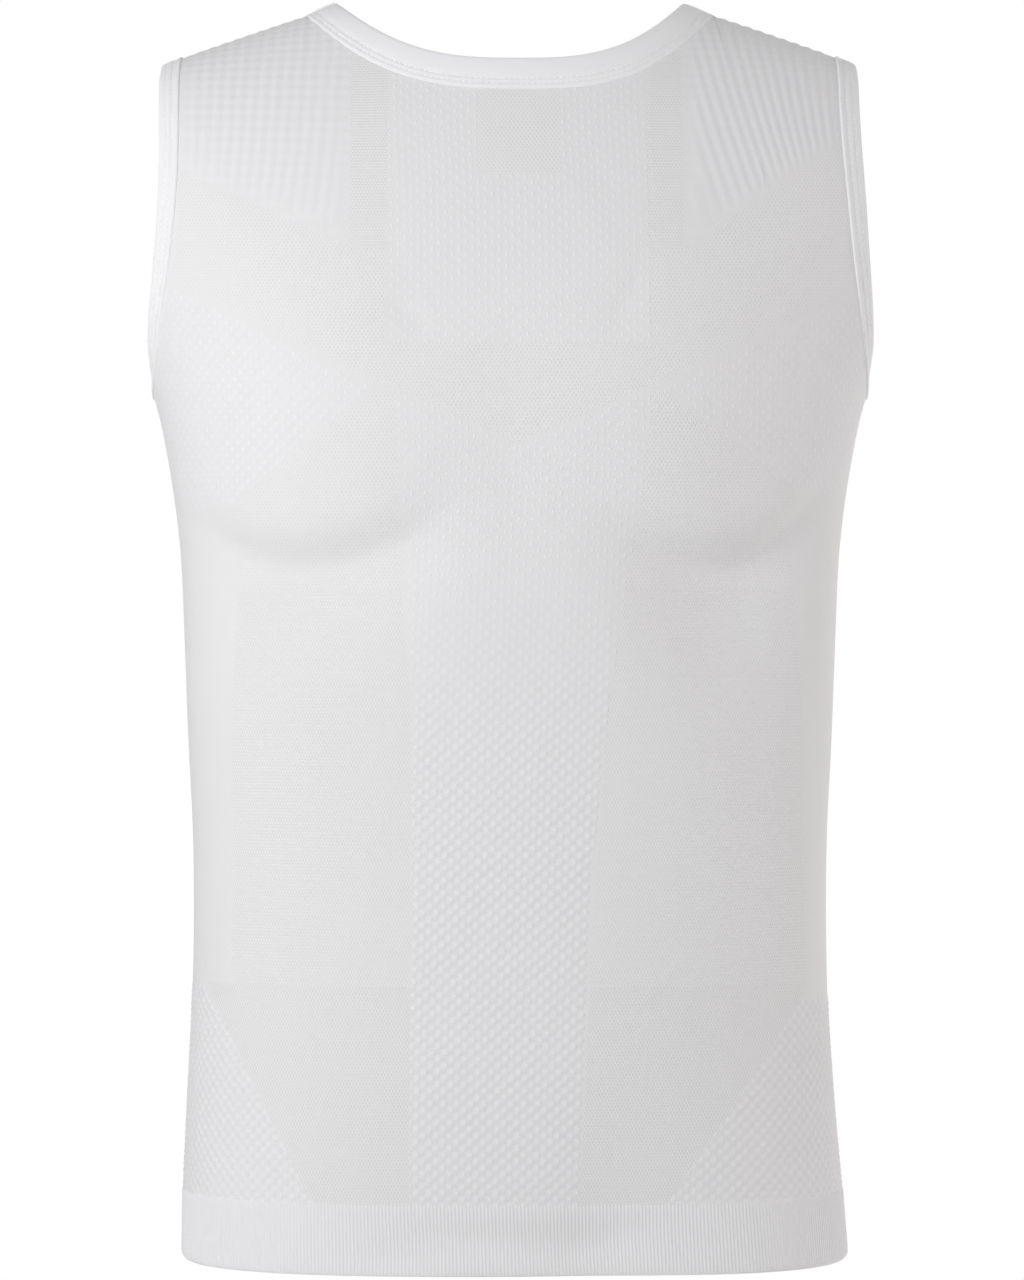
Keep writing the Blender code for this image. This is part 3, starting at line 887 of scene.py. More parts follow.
def add_wall(mesh: bmesh.types.BMesh, points: Points) -> np.ndarray:
    """Adds a grid of faces through a grid of points.

    Args:
        mesh: the bmesh to add to.
        points: rows by columns by 3, in millimetres.

    Returns:
        The vertices, rows by columns.
    """
    rows, columns = points.shape[:2]
    made = bmesh.ops.create_grid(mesh, x_segments=columns - 1, y_segments=rows - 1, size=1.0)
    for vertex, place in zip(made["verts"], points.reshape(-1, 3) * MM):
        vertex.co = place
    return np.array(made["verts"], dtype=object).reshape(rows, columns)


# From the centre line to the edge, and how closely the columns lie there.
COLUMN_DENSITY = ((0, 0.31, 0.34, 0.37, 0.40, 1), (8, 8, 4, 4, 7, 7))
# Heights, and how far the knit pattern's centre line lies to the side there.
PATTERN_DRIFT = ((-600, -216, -57), (-8, 6.2, 3.2))
LINE_POINTS = 4001              # fine enough to measure along a line
LOOP_POINTS = 401               # of each half of the neck and of the hem, before evening out
NEAR_SEAM = (0.99, 0.995, 1.0)  # rows that give the wall's direction at the neck seam
NEAR_HEM_SEAM = 0.45            # distance below the hem seam over which it is taken there
MERGED = 1e-6                   # the two ends of a strip's grid lie closer than this, in metres


@dataclass
class BodyPanel:
    """Front or back: a thin shell with its knit zones, its ribs, its blisters and its creases."""

    half: Half
    node: str
    zones: tuple[Zone, ...]
    creases: tuple[Crease | Fold, ...]
    columns: int = 250
    lower_rows: int = 252
    upper_rows: int = 132
    coarse: int = 10            # the plain inner wall has one face for this many outer columns
    coarse_rows: int = 8
    row_power: float = 1.35
    blister_relief: float = 0.6
    blister_low: float = -0.3   # parts of the cells' wave where a blister starts and is highest
    blister_high: float = 0.9
    blister_edge: float = 3.0   # the blisters fade in over this distance from their zone's edge
    no_knit: float = -10.0
    arc_steps: int = 32
    least_rounding: float = 0.2     # nearer to the side line, depths can't be told from points
    fold_fade: float = 0.12         # share of a half's width where folds fade out, at its edges
    bloom_start: float = -260.0     # the dashes begin to widen into blisters at this height
    bloom_end: float = -420.0

    def column_places(self) -> Values:
        """Columns from edge to edge, closest over the centre panel and the ribs."""
        dense = np.linspace(-1, 1, LINE_POINTS)
        density = np.interp(np.abs(dense), *COLUMN_DENSITY)
        total = np.concatenate(([0.0], np.cumsum((density[1:] + density[:-1]) / 2)))
        places = np.interp(np.linspace(0, total[-1], self.columns + 1), total, dense)
        for corner in (-FORM.neck_half_width, FORM.neck_half_width):
            place = float(FORM.column_at(corner))
            places[np.argmin(np.abs(places - place))] = place
        return places

    def row_places(self) -> Values:
        """Rows from the hem seam to the neck and shoulder seams."""
        start = FORM.hem_top + FORM.hem_half_gap
        lower = np.linspace(start, FORM.armhole_foot, self.lower_rows + 1)
        upper = (np.arange(1, self.upper_rows + 1) / self.upper_rows) ** self.row_power
        return np.concatenate((lower, upper))

    def pattern_line(self, height: Values) -> Values:
        """The centre line of the knit pattern, which the worn cloth pulls a little aside."""
        return np.interp(height, *PATTERN_DRIFT)

    def cloth_map(self, points: Points) -> Points:
        """Distances along the cloth: level ones from the pattern's line, upright ones from the hem.

        A level section's arc gives the first, and the rise over the shoulder at a constant
        distance across gives the second, so neither depends on how the wall is faceted.
        """
        across, out, height = np.moveaxis(points, -1, 0)
        rounding = FORM.rounding(across, height)
        places = np.arange(points.shape[1])
        depth = np.empty_like(out)
        for row, share in enumerate(rounding):
            known = share > self.least_rounding
            there = (np.abs(out[row, known]) - FORM.half_gap) / share[known]
            depth[row] = np.interp(places, places[known], there)
        half_width = FORM.size_at("half_width", height)
        off_centre = across - FORM.size_at("centre", height)
        turn = np.arcsin(np.clip(np.abs(off_centre) / half_width, 0, 1))
        arc = np.zeros_like(across)
        last_x, last_y = np.zeros_like(across), np.ones_like(across)
        for share in np.linspace(0, 1, self.arc_steps + 1)[1:]:
            x = np.sin(share * turn)
            y = (1 - x**FORM.section_power) ** (1 / FORM.section_power)
            arc += np.hypot((x - last_x) * half_width, (y - last_y) * depth)
            last_x, last_y = x, y
        level = np.copysign(arc, off_centre) - self.pattern_line(height)
        steps = np.hypot(np.diff(height, axis=0), np.diff(depth, axis=0) * rounding[1:])
        upright = np.concatenate((np.zeros((1, points.shape[1])), np.cumsum(steps, axis=0)), axis=0)
        return np.stack((level, upright), axis=-1)

    def knits(self, points: Points) -> dict[Knit, Values]:
        """For each knit, how far inside its zones every point lies, in millimetres."""
        across, height = points[..., 0], points[..., 2]
        depths = {knit: np.full(across.shape, self.no_knit) for knit in Knit}
        for zone in self.zones:
            inside = zone.depth_inside(across, height)
            depths[zone.knit] = np.maximum(depths[zone.knit], inside)
        depths[Knit.DASH] = np.minimum(depths[Knit.DASH], -depths[Knit.PINHOLE])
        return {knit: np.clip(depth, self.no_knit, -self.no_knit) for knit, depth in depths.items()}

    def build(self, material: bpy.types.Material) -> bpy.types.Object:
        """Models the shell: a fine outer wall, a plain inner one and the rim between them."""
        columns, rows = self.column_places(), self.row_places()
        points = FORM.surface(columns, rows, self.half)
        normals = FORM.normals(points, self.half)
        cloth = self.cloth_map(points)
        knits = self.knits(points)
        lift = FORM.rib_relief_at(columns, points)
        cells = BLISTER_CELLS.cells(cloth[..., 0], cloth[..., 1])
        bump = smooth((cells - self.blister_low) / (self.blister_high - self.blister_low))
        bloom = smooth((self.bloom_start - points[..., 2]) / (self.bloom_start - self.bloom_end))
        lift += self.blister_relief * bump * bloom * smooth(knits[Knit.BLISTER] / self.blister_edge)
        fold = sum(crease.lift(points[..., 0], points[..., 2]) for crease in self.creases)
        fold = fold * smooth((1 - np.abs(columns)) / self.fold_fade)
        outer = points + normals * (lift + fold)[..., None]

        pick_rows = np.arange(0, len(rows), self.coarse_rows)
        pick_columns = np.arange(0, len(columns), self.coarse)
        pick = np.ix_(pick_rows, pick_columns)
        inner = points[pick] + normals[pick] * (fold[pick] - FORM.wall)[..., None]

        mesh = bmesh.new()
        self.close_rim(mesh, add_wall(mesh, outer), add_wall(mesh, inner))
        bmesh.ops.recalc_face_normals(mesh, faces=mesh.faces)

        def with_inner(values: Values, filler: Values) -> Values:
            """One value for each vertex: the outer wall's own, and a filler for the inner."""
            return np.concatenate((values.reshape(-1, *values.shape[2:]), filler))

        blank = np.full(inner.shape[0] * inner.shape[1], self.no_knit)
        piece = add_piece(
            f"{self.node}_knit",
            mesh,
            material,
            with_inner(cloth, cloth[pick].reshape(-1, 2)),
            {knit.value: with_inner(depth, blank) for knit, depth in knits.items()}
            | {BLOOM: with_inner(bloom, np.zeros_like(blank))},
        )
        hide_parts(self.node)
        return piece

    def close_rim(self, mesh: bmesh.types.BMesh, outer: Points, inner: Points) -> None:
        """Closes the cut edges: one face from each edge of the inner wall to the outer's edges."""
        sides = (
            (outer[0], inner[0], self.coarse),
            (outer[-1], inner[-1], self.coarse),
            (outer[:, 0], inner[:, 0], self.coarse_rows),
            (outer[:, -1], inner[:, -1], self.coarse_rows),
        )
        for fine, plain, step in sides:
            for i in range(len(plain) - 1):
                edge = list(fine[i * step:(i + 1) * step + 1])
                mesh.faces.new([plain[i], *edge, plain[i + 1]])


@dataclass
class Loop:
    """A closed line round an opening, with the free edge that its strip ends at."""

    seam: Points
    free: Points
    outward: Points

    def resampled(self, count: int) -> "Loop":
        """The same loop with its points evenly spaced along the seam, and closed."""
        closed = [np.vstack((t, t[:1])) for t in (self.seam, self.free, self.outward)]
        along = arc_lengths(closed[0])
        seam, free, outward = evenly_spaced(along, count + 1, *closed)
        return Loop(seam, free, unit(outward))


@dataclass(frozen=True)
class Profile:
    """The cross-section of a folded strip, from the seam to the free edge and back inside."""

    corners: tuple[tuple[float, float], ...]

    def points(self) -> Values:
        """The closed section as (share of the width, lift over the body) pairs."""
        return np.array(self.corners, dtype=float)


@dataclass
class Strip:
    """A folded strip round an opening: the neckband, an armhole binding or the hem band."""

    node: str
    slot: str
    loop: Loop
    profile: Profile
    count: int
    seam_gap: float = 0.3       # the hem's is smaller, as the welt is knitted on to the body
    rib_pitch: float = 0.0
    rib_relief: float = 0.0
    ribbed_above: float = -0.3  # the ribs lie on the outside, down to this lift
    ribbed_up_to: float = 0.98  # and this share of the width
    creases: tuple[Crease | Fold, ...] = ()
    frames: tuple[Points, Points, Points] = field(init=False)
    own_normal: Points = field(init=False)
    around: Values = field(init=False)

    def __post_init__(self) -> None:
        """Works out the strip's even frames: its start, its end and which way is out."""
        loop = self.loop.resampled(self.count)
        across = unit(loop.free - loop.seam)
        along = np.empty_like(loop.seam)
        along[1:-1] = loop.seam[2:] - loop.seam[:-2]
        along[0] = along[-1] = loop.seam[1] - loop.seam[-2]
        normal = unit(np.cross(along, across))
        facing = np.sign(np.sum(normal * loop.outward, axis=1, keepdims=True))
        self.frames = (loop.seam + across * self.seam_gap, loop.free, loop.outward)
        self.own_normal = normal * facing
        self.around = arc_lengths(loop.seam)

    def point_at(self, share: Values, lift: Values) -> Points:
        """Points of the strip, for every place round the loop and every corner given."""
        start, free, outward = self.frames
        turn = np.clip(2 * np.asarray(share), 0.0, 1.0)[..., None]
        up = unit(outward[:, None] * (1 - turn) + self.own_normal[:, None] * turn)
        share = np.asarray(share)[..., None]
        return start[:, None] * (1 - share) + free[:, None] * share + up * lift[..., None]

    def build(self, material: bpy.types.Material) -> bpy.types.Object:
        """Models the strip as a grid that is closed both ways."""
        section = self.profile.points()
        section = np.vstack((section, section[:1]))
        share = np.broadcast_to(section[:, 0], (self.count + 1, len(section)))
        lift = np.array(np.broadcast_to(section[:, 1], share.shape))
        outside = (lift > self.ribbed_above) & (share < self.ribbed_up_to)
        if self.rib_pitch:
            ribs = round(self.around[-1] / self.rib_pitch)
            phase = 2 * math.pi * ribs * self.around / self.around[-1]
            lift = lift + np.where(outside, self.rib_relief * np.cos(phase)[:, None], 0.0)
        base = self.point_at(share, lift)
        for crease in self.creases:
            front = base[..., 1] < 0
            lift = lift + np.where(front, crease.lift(base[..., 0], base[..., 2]), 0.0)
        points = self.point_at(share, lift)
        width = float(np.linalg.norm(self.frames[1] - self.frames[0], axis=1).mean())
        cloth = np.stack((np.broadcast_to(self.around[:, None], share.shape), share * width), -1)

        mesh = bmesh.new()
        add_wall(mesh, points)
        layer = mesh.loops.layers.uv.new(CLOTH_MAP)
        flat = cloth.reshape(-1, 2) * MM
        for face in mesh.faces:
            for corner in face.loops:
                corner[layer].uv = flat[corner.vert.index]
        bmesh.ops.remove_doubles(mesh, verts=mesh.verts, dist=MERGED)
        bmesh.ops.recalc_face_normals(mesh, faces=mesh.faces)
        piece = add_piece(f"{self.node}_strip", mesh, material)
        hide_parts(self.node)
        return piece


@dataclass
class StitchRow:
    """One needle's row of a coverstitch: short threads, end to end, sunk into the strip."""

    strip: Strip
    share: float
    lift: float = 0.4
    length: float = 2.2
    pitch: float = 2.9
    radius: float = 0.36

    def add_to(self, mesh: bmesh.types.BMesh) -> None:
        """Adds the row's threads, each a stretched icosphere lying along the strip."""
        shape = (self.strip.count + 1, 1)
        line = self.strip.point_at(np.full(shape, self.share), np.full(shape, self.lift))[:, 0]
        along = arc_lengths(line)
        count = round(along[-1] / self.pitch)
        places, outward = evenly_spaced(along, 2 * count + 1, line, self.strip.own_normal)
        for i in range(count):
            direction = Vector(places[2 * i + 2] - places[2 * i]).normalized()
            up = Vector(outward[2 * i + 1]).normalized()
            side = direction.cross(up).normalized()
            up = side.cross(direction)
            turn = Matrix((direction * self.length / 2, side * self.radius, up * self.radius))
            turn = turn.transposed().to_4x4()
            turn.translation = Vector(places[2 * i + 1])
            bmesh.ops.create_icosphere(
                mesh, subdivisions=1, radius=1.0, matrix=Matrix.Scale(MM, 4) @ turn
            )


# ================================================================ loops round the openings
def both_halves(points: dict[Half, Points]) -> Points:
    """Joins a front line and a back line, which share their ends, to one closed loop."""
    return np.concatenate((points[Half.FRONT][:-1], points[Half.BACK][:0:-1]))


def neck_loop() -> Loop:
    """The neck seam, and the edge of the neck opening above it."""
    left, right = (float(FORM.column_at(side * FORM.neck_half_width)) for side in (-1, 1))
    turn = np.linspace(0, math.pi, LOOP_POINTS)
    columns = left + (right - left) * (1 - np.cos(turn)) / 2
    seam, free, outward = {}, {}, {}
    for half in Half:
        grid = FORM.surface(columns, np.array(NEAR_SEAM), half)
        outward[half] = FORM.normals(grid, half)[-1]
        line = grid[-1].copy()
        line[[0, -1], 1] = 0.0
        climb = FORM.neck_share(line[:, 0]) ** FORM.neck_power
        climb = climb * (FORM.neck_opening_top - half.value.neck_opening)
        free[half] = np.stack(
            (
                line[:, 0] * FORM.neck_opening_half_width / FORM.neck_half_width,
                line[:, 1] * FORM.neck_opening_inset,
                half.value.neck_opening + climb,
            ),
            axis=1,
        )
        seam[half] = line
    return Loop(both_halves(seam), both_halves(free), both_halves(outward))


@dataclass(frozen=True)
class ArmholeSizes:
    """How an armhole's binding is laid out."""

    width: float = 11.0
    upright: float = 16.0       # about how far above the foot the binding still stands upright
    count: int = 480            # points round the seam
    seam_points: int = 601
    seam_power: float = 1.8     # above 1, the points are closest at the foot
    stations: int = 15          # where the wall's direction is taken, as many as in the solids
    station_power: float = 1.45
    first_station: float = 0.005
    step: float = 0.004         # for slopes
    soften_direction: int = 8
    soften_line: int = 2


ARMHOLE = ArmholeSizes()


def armhole_loop(side: int) -> Loop:
    """The seam of an armhole, and the edge that lies a binding's width from it.

    The wall's direction is taken at the rows of the solids and eased between them, as it isn't
    defined at the foot, where the seam leaves the side line.

    Args:
        side: -1 for the left armhole, 1 for the right one.

    Returns:
        The loop, evenly spaced.
    """
    step = ARMHOLE.step
    rows = np.linspace(0, 1, ARMHOLE.seam_points) ** ARMHOLE.seam_power
    stations = np.linspace(0, 1, ARMHOLE.stations + 1) ** ARMHOLE.station_power
    stations = np.insert(stations, 1, ARMHOLE.first_station)
    columns = np.array((-1.0, step - 1) if side < 0 else (1 - step, 1.0))
    edge = 0 if side < 0 else 1
    below = FORM.size_at("half_width", FORM.armhole_foot - step)
    foot_slope = (FORM.size_at("half_width", FORM.armhole_foot) - below) / step
    seam, outward = {}, {}
    for half in Half:
        line = FORM.surface(columns, rows, half)[:, edge]
        line[[0, -1], 1] = 0.0
        along = np.diff(FORM.surface(columns, stations, half), axis=1)[:, 0]
        above = FORM.surface(columns, np.minimum(1, stations + step), half)[:, edge]
        under = FORM.surface(columns, np.maximum(0, stations - step), half)[:, edge]
        normal = np.cross(along, above - under) * -half.value.outward
        normal[0] = (side, 0.0, -foot_slope)
        normal[-1, 1] = 0.0
        reached = arc_lengths(line)
        at_stations = np.interp(stations, rows, reached)
        normal = unit(normal)
        outward[half] = np.stack(
            [np.interp(reached, at_stations, normal[:, k]) for k in range(3)], axis=1
        )
        seam[half] = line
    line = both_halves(seam)
    even = Loop(line, line, both_halves(outward)).resampled(ARMHOLE.count)
    line = even.seam[:-1]
    out = unit(softened(even.outward[:-1], ARMHOLE.soften_direction))
    forward = softened(np.roll(line, -1, axis=0) - np.roll(line, 1, axis=0), ARMHOLE.soften_line)
    facing = out.copy()
    facing[:, 2] *= 1 - np.exp(-(((line[:, 2] - FORM.armhole_foot) / ARMHOLE.upright) ** 2))
    across = unit(np.cross(forward, facing)) * side
    return Loop(line, line + across * ARMHOLE.width, out)


def hem_loop() -> Loop:
    """The hem seam, and the hem's lower edge."""
    columns = np.linspace(-1, 1, LOOP_POINTS)
    start = FORM.hem_top - FORM.hem_half_gap
    seam, free, outward = {}, {}, {}
    for half in Half:
        top = FORM.surface(columns, np.array([start - NEAR_HEM_SEAM, start]), half)
        outward[half] = FORM.normals(top, half)[-1]
        lines = []
        for column in columns:
            height = FORM.hem_bottom + FORM.hem_side_lift * abs(column) ** FORM.hem_side_power
            lines.append(FORM.surface(np.array([column]), np.array([height]), half)[0, 0])
        low = np.array(lines)
        high = top[-1].copy()
        for line in (low, high):
            line[[0, -1], 1] = 0.0
        seam[half], free[half] = high, low
    return Loop(both_halves(seam), both_halves(free), both_halves(outward))


# ================================================================ the garment's layout
FRONT_ZONES = (
    Zone(Knit.RIBS, ((-200, 40), (-81, 40), (-81, -117), (-158, -81), (-200, -62))),
    Zone(Knit.RIBS, ((88, 40), (200, 40), (200, -41), (163, -65), (88, -119))),
    Zone(Knit.PINHOLE, ((-17, 20), (26, 20), (26, -79), (-17, -79))),
    Zone(Knit.DASH, ((-62, 40), (72, 40), (73, -166), (-61, -166))),
    Zone(Knit.LADDER, ((-81, 40), (-62, 40), (-61.5, -119), (-80.5, -119))),
    Zone(Knit.LADDER, ((70, 40), (88, 40), (87.7, -119), (69, -119))),
    Zone(Knit.PINHOLE, ((-61, -166), (73, -166), (71, -187), (6, -216), (-62, -187))),
    Zone(
        Knit.PINHOLE,
        ((-190, -66), (-81, -117), (-62, -117), (-62, -187), (-163, -137), (-190, -124)),
    ),
    Zone(Knit.PINHOLE, ((200, -41), (88, -119), (70, -119), (71, -187), (173, -137), (200, -123))),
    Zone(Knit.DASH, ((-190, -127), (-68, -189), (-139, -245), (-166, -250), (-190, -200))),
    Zone(Knit.DASH, ((78, -189), (190, -131), (190, -200), (168, -243), (144, -239))),
    Zone(Knit.PINHOLE, ((-68, -190), (-57, -190), (-55, -290), (-141, -290), (-139, -246))),
    Zone(Knit.PINHOLE, ((78, -190), (72, -190), (65, -255), (58, -290), (148, -290), (144, -240))),
    Zone(Knit.LADDER, ((-141, -290), (-55, -290), (-49, -345), (-50, -490), (-142, -490))),
    Zone(Knit.LADDER, ((58, -290), (148, -290), (151, -490), (40, -490), (50, -345))),
    Zone(Knit.DOTS, ((-155, -490), (-50, -490), (-51, -606), (-96, -606), (-155, -492))),
    Zone(Knit.DOTS, ((40, -490), (151, -490), (148, -499), (76, -606), (35, -606))),
    Zone(
        Knit.BLISTER,
        (
            (-57, -189), (-49, -345), (-51, -606), (35, -606), (40, -446), (50, -345), (65, -255),
            (71, -189), (6, -218),
        ),
    ),
    Zone(Knit.BLISTER, ((-155, -492), (-96, -606), (-190, -606), (-180, -492))),
    Zone(Knit.BLISTER, ((148, -499), (76, -606), (190, -606), (180, -499))),
)

BACK_SIDE_ZONES = (
    Zone(Knit.RIBS, ((200, 40), (84, 40), (84, -118), (160, -85), (200, -67))),
    Zone(Knit.PINHOLE, ((200, -67), (84, -118), (73, -118), (73, -188), (190, -128))),
    Zone(Knit.DASH, ((190, -132), (76, -190), (142, -250), (166, -254), (190, -205))),
    Zone(Knit.PINHOLE, ((72, -192), (46, -214), (46, -300), (143, -300), (141, -251))),
    Zone(Knit.LADDER, ((143, -300), (46, -300), (42, -490), (145, -490))),
    Zone(Knit.DOTS, ((154, -490), (42, -490), (46, -606), (96, -606), (152, -495))),
    Zone(Knit.BLISTER, ((152, -495), (96, -606), (190, -606), (180, -495))),
)
BACK_ZONES = BACK_SIDE_ZONES + tuple(zone.mirrored() for zone in BACK_SIDE_ZONES) + (
    Zone(Knit.DASH, ((-72, 40), (72, 40), (72, -170), (-72, -170))),
    Zone(Knit.PINHOLE, ((-72, -170), (72, -170), (0, -222))),
    Zone(
        Knit.BLISTER,
        ((-45, -212), (-42, -330), (-46, -606), (46, -606), (42, -330), (45, -212), (0, -226)),
    ),
)

BELLY_HOLLOW = Fold(
    (
        (-110, -650, 0), (-40, -650, -5), (10, -650, -10), (48, -650, -17), (80, -650, -11),
        (115, -650, -1), (135, -650, 1.2), (160, -650, 0),
    ),
    above=85, below=60,
)

FRONT_CREASES = (
    Crease((-63, -137), (-37, -165), width=7, depth=-0.9),
    Crease((73, -119), (45, -168), width=7, depth=-0.9),
    Fold(
        (
            (-165, -254, 0), (-148, -271, -5.6), (-118, -283, -8.6), (-80, -280, -7.0),
            (-46, -266, -3.2), (-22, -249, 0),
        ),
        above=14, below=40,
    ),
    Fold(
        (
            (36, -254, 0), (60, -269, -2.8), (86, -281, -9.6), (114, -286, -15.5),
            (138, -276, -10.8), (158, -250, -4.0), (173, -230, 0),
        ),
        above=16, below=48,
    ),
    Fold(
        ((-140, -250, 0), (-105, -257, 1.6), (-70, -250, 1.2), (-40, -236, 0)),
        above=16, below=12,
    ),
    Fold(
        ((60, -240, 0), (85, -248, 1.4), (110, -254, 1.8), (138, -244, 1.0), (160, -224, 0)),
        above=16, below=12,
    ),
    BELLY_HOLLOW,
)

BACK_CREASES = (
    Crease((-70, -120), (-40, -168), width=9, depth=-1.0),
    Crease((74, -116), (44, -170), width=9, depth=-1.0),
    Crease((-120, -330), (-20, -352), width=14, depth=-1.3),
    Crease((118, -338), (24, -356), width=13, depth=-1.5),
)

HEM_CREASES = (
    BELLY_HOLLOW,
    Fold(
        ((-80, -614, 0), (-50, -614, -2.2), (0, -616, -3.4), (45, -616, -3.6), (85, -611, 0)),
        above=6, below=9,
    ),
    Fold(
        ((-90, -624, 0), (-65, -625, -2.4), (-45, -625, -1.8), (-20, -622, 0)), above=5, below=6
    ),
    Fold(((0, -625, 0), (22, -626, -2.4), (40, -625, -1.6), (60, -622, 0)), above=5, below=6),
    Crease((-50, -632), (34, -634), width=5, depth=0.8),
)

BAND_PROFILE = Profile((
    (-0.05, 0.05), (-0.045, 0.3), (-0.02, 0.55), (0.04, 0.68), (0.09, 0.66), (0.12, 0.3),
    (0.15, 0.28), (0.18, 0.6), (0.25, 0.62), (0.28, 0.28), (0.31, 0.3), (0.36, 0.66),
    (0.5, 0.7), (0.7, 0.66), (0.85, 0.52), (0.95, 0.2),
    (0.99, -0.2), (1.0, -0.6), (0.98, -1.1), (0.92, -1.45), (0.8, -1.6), (0.4, -1.5), (0.0, -1.5),
))
BINDING_PROFILE = Profile((
    (-0.06, -0.2), (-0.055, 0.3), (-0.03, 0.72), (0.02, 0.95), (0.08, 0.95), (0.13, 0.74),
    (0.18, 0.56), (0.25, 0.54), (0.275, 0.28), (0.305, 0.28), (0.33, 0.54), (0.45, 0.6),
    (0.59, 0.54), (0.62, 0.3), (0.65, 0.28), (0.68, 0.46), (0.8, 0.4), (0.9, 0.24),
    (0.95, 0.04), (0.99, -0.24), (1.0, -0.6), (0.98, -1.1),
    (0.9, -1.5), (0.75, -1.6), (0.4, -1.5), (0.0, -1.5),
))
HEM_PROFILE = Profile((
    (-0.025, 0.0), (-0.02, 0.25), (0.005, 0.5), (0.04, 0.56), (0.12, 0.5), (0.25, 0.45),
    (0.4, 0.45), (0.55, 0.45),
    (0.7, 0.45), (0.82, 0.45), (0.92, 0.42), (0.965, 0.25), (0.99, -0.1), (1.0, -0.55),
    (0.99, -1.05), (0.95, -1.45), (0.7, -1.5), (0.35, -1.5), (0.0, -1.5),
))


@dataclass(frozen=True)
class FlatCut:
    """What a piece measures laid flat before it is worn, in metres, and its area if not square."""

    width: float
    length: float
    area: float | None = None


@dataclass
class BaseLayer:
    """The whole garment: two body halves, the hem band, the neckband and two bindings."""

    half_cut: FlatCut = FlatCut(width=0.44, length=0.62, area=0.235)
    hem_cut: FlatCut = FlatCut(width=0.90, length=0.036)
    neck_cut: FlatCut = FlatCut(width=0.54, length=0.0165)
    binding_cut: FlatCut = FlatCut(width=0.50, length=0.011)
    hem_points: int = 2688          # five or six for each of the welt's ribs
    hem_seam_gap: float = 0.05
    welt_pitch: float = 1.85        # coarser than the real ribs, so that they show
    welt_relief: float = 0.17
    neck_points: int = 520
    neck_stitches: tuple[float, float] = (0.135, 0.295)         # shares of the strip's width
    binding_stitches: tuple[float, float] = (0.29, 0.635)
    pieces: list[bpy.types.Object] = field(default_factory=list)

    def declare(self, piece: bpy.types.Object) -> None:
        """Adds a piece to the garment's list of pieces, without its cut size, which the worn
        garment stretches a little.
        """
        self.pieces.append(piece)

    def build(self) -> list[bpy.types.Object]:
        """Builds every piece and dresses it."""
        jacquard = JacquardKnit().build()
        welt = WeltKnit().build()
        binding = BindingKnit().build()
        thread = SewingThread().build()
        front = BodyPanel(Half.FRONT, "body_front", FRONT_ZONES, FRONT_CREASES).build(jacquard)
        back = BodyPanel(Half.BACK, "body_back", BACK_ZONES, BACK_CREASES).build(jacquard)
        self.declare(front)
        self.declare(back)
        hem = Strip(
            "hem_band", "welt_knit", hem_loop(), HEM_PROFILE, self.hem_points,
            seam_gap=self.hem_seam_gap, rib_pitch=self.welt_pitch, rib_relief=self.welt_relief,
            creases=HEM_CREASES,
        )
        self.declare(hem.build(welt))
        neck = Strip("neckband", "rib_binding", neck_loop(), BAND_PROFILE, self.neck_points)
        self.declare(neck.build(binding))
        strips = [(neck, self.neck_stitches)]
        for side, node in ((-1, "armhole_binding_left"), (1, "armhole_binding_right")):
            strip = Strip(node, "rib_binding", armhole_loop(side), BINDING_PROFILE, ARMHOLE.count)
            self.declare(strip.build(binding))
            strips.append((strip, self.binding_stitches))
        for strip, shares in strips:
            mesh = bmesh.new()
            for share in shares:
                StitchRow(strip, share).add_to(mesh)
            piece = add_piece(f"{strip.node}_stitches", mesh, thread)
            self.pieces.append(piece)
        return self.pieces


# ================================================================ studio
@dataclass(frozen=True)
class SoftBox:
    """One large soft light, aimed at the middle of the garment."""

    name: str
    place: tuple[float, float, float]
    size: float
    power: float
    colour: str = "FFFFFF"

    def build(self, target: Vector) -> None:
        """Adds the light."""
        data = bpy.data.lights.new(self.name, "AREA")
        data.shape = "SQUARE"
        data.size = self.size
        data.energy = self.power
        data.color = linear_colour(self.colour)[:3]
        light = add_object(self.name, data)
        light.location = self.place
        light.rotation_euler = (target - light.location).to_track_quat("-Z", "Y").to_euler()


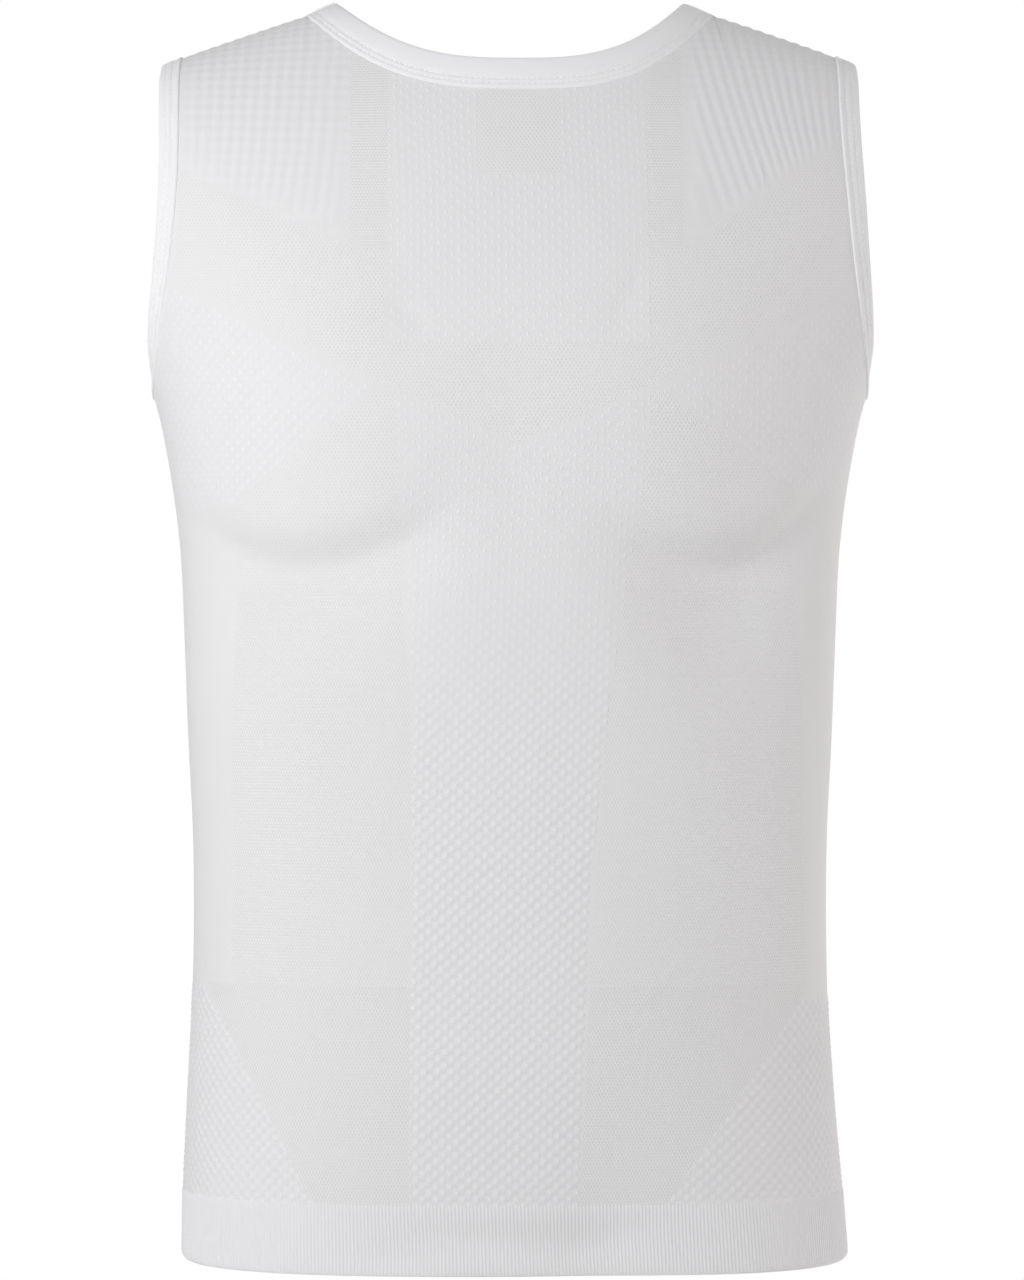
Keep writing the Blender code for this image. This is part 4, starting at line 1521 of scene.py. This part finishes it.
@dataclass(frozen=True)
class Studio:
    """Pale floor, near-white surroundings, soft light from the left and the level camera."""

    floor_height: float = -1.45
    floor_radius: float = 6.0
    floor_sides: int = 96
    floor_colour: str = "F4F4F4"
    floor_roughness: float = 0.9
    floor_glow: float = 0.42        # for the camera only: the real floor is lit on its own
    backdrop: float = 1.0
    surround: float = 0.428
    eye: tuple[float, float, float] = (0.00104, -3.0, -0.3151)
    view_height: float = 0.6656       # what the picture's height takes in at the garment's plane
    sensor: float = 36.0
    lights: tuple[SoftBox, ...] = (
        SoftBox("key_left", (-0.8, -1.3, 0.05), size=0.8, power=11.6),
        SoftBox("wall_left", (-3.2, 0.5, 0.2), size=2.4, power=8.5),
        SoftBox("wall_right", (3.2, 0.5, 0.2), size=2.4, power=34.6, colour="FFF8F5"),
        SoftBox("wall_behind", (0.6, 3.4, 0.5), size=2.4, power=30.0),
    )

    def build(self) -> None:
        """Adds the stage, the world, the lights and the camera."""
        self.add_floor()
        self.add_surroundings()
        target = Vector((0, 0, self.eye[2]))
        for light in self.lights:
            light.build(target)
        self.add_camera()

    def add_floor(self) -> None:
        """Adds the floor, with a glow that only the camera sees."""
        mesh = bmesh.new()
        bmesh.ops.create_circle(
            mesh, cap_ends=True, segments=self.floor_sides, radius=self.floor_radius
        )
        bmesh.ops.translate(mesh, verts=mesh.verts, vec=(0, 0, self.floor_height))
        data = bpy.data.meshes.new("studio_floor")
        mesh.to_mesh(data)
        mesh.free()
        colour = linear_colour(self.floor_colour)
        values = {"Base Color": colour, "Roughness": self.floor_roughness, "Emission Color": colour}
        material, surface = start_material("painted_studio_floor", values)
        tree = material.node_tree
        seen = add_node(tree, "ShaderNodeLightPath", output="Is Camera Ray")
        inputs = {0: seen, 1: self.floor_glow}
        glow = add_node(tree, "ShaderNodeMath", inputs, operation="MULTIPLY")
        tree.links.new(glow, surface.inputs["Emission Strength"])
        data.materials.append(material)
        floor = add_object("studio_floor", data)

    def add_surroundings(self) -> None:
        """Adds the even light from all round, and the white that the camera sees behind it."""
        world = bpy.data.worlds.new("studio")
        bpy.context.scene.world = world
        world.use_nodes = True
        tree = world.node_tree
        background = tree.nodes["Background"]
        seen = add_node(tree, "ShaderNodeLightPath", output="Is Camera Ray")
        strength = add_node(
            tree, "ShaderNodeMapRange", {0: seen, 3: self.surround, 4: self.backdrop}
        )
        tree.links.new(strength, background.inputs["Strength"])
        background.inputs["Color"].default_value = (1, 1, 1, 1)

    def add_camera(self) -> None:
        """Adds the level camera, which looks straight at the front."""
        lens = bpy.data.cameras.new("camera")
        lens.sensor_width = self.sensor
        lens.lens = self.sensor * abs(self.eye[1]) / self.view_height
        camera = add_object("camera", lens)
        camera.location = self.eye
        camera.rotation_euler = (math.pi / 2, 0, 0)
        bpy.context.scene.camera = camera
        bpy.context.scene.view_settings.view_transform = "Standard"


def main() -> None:
    """Builds the studio and the garment in order."""
    logging.basicConfig(level=logging.INFO)
    Studio().build()
    for piece in BaseLayer().build():
        LOG.info("%s: %d faces", piece.name, len(piece.data.polygons))


if __name__ == "__main__":
    main()
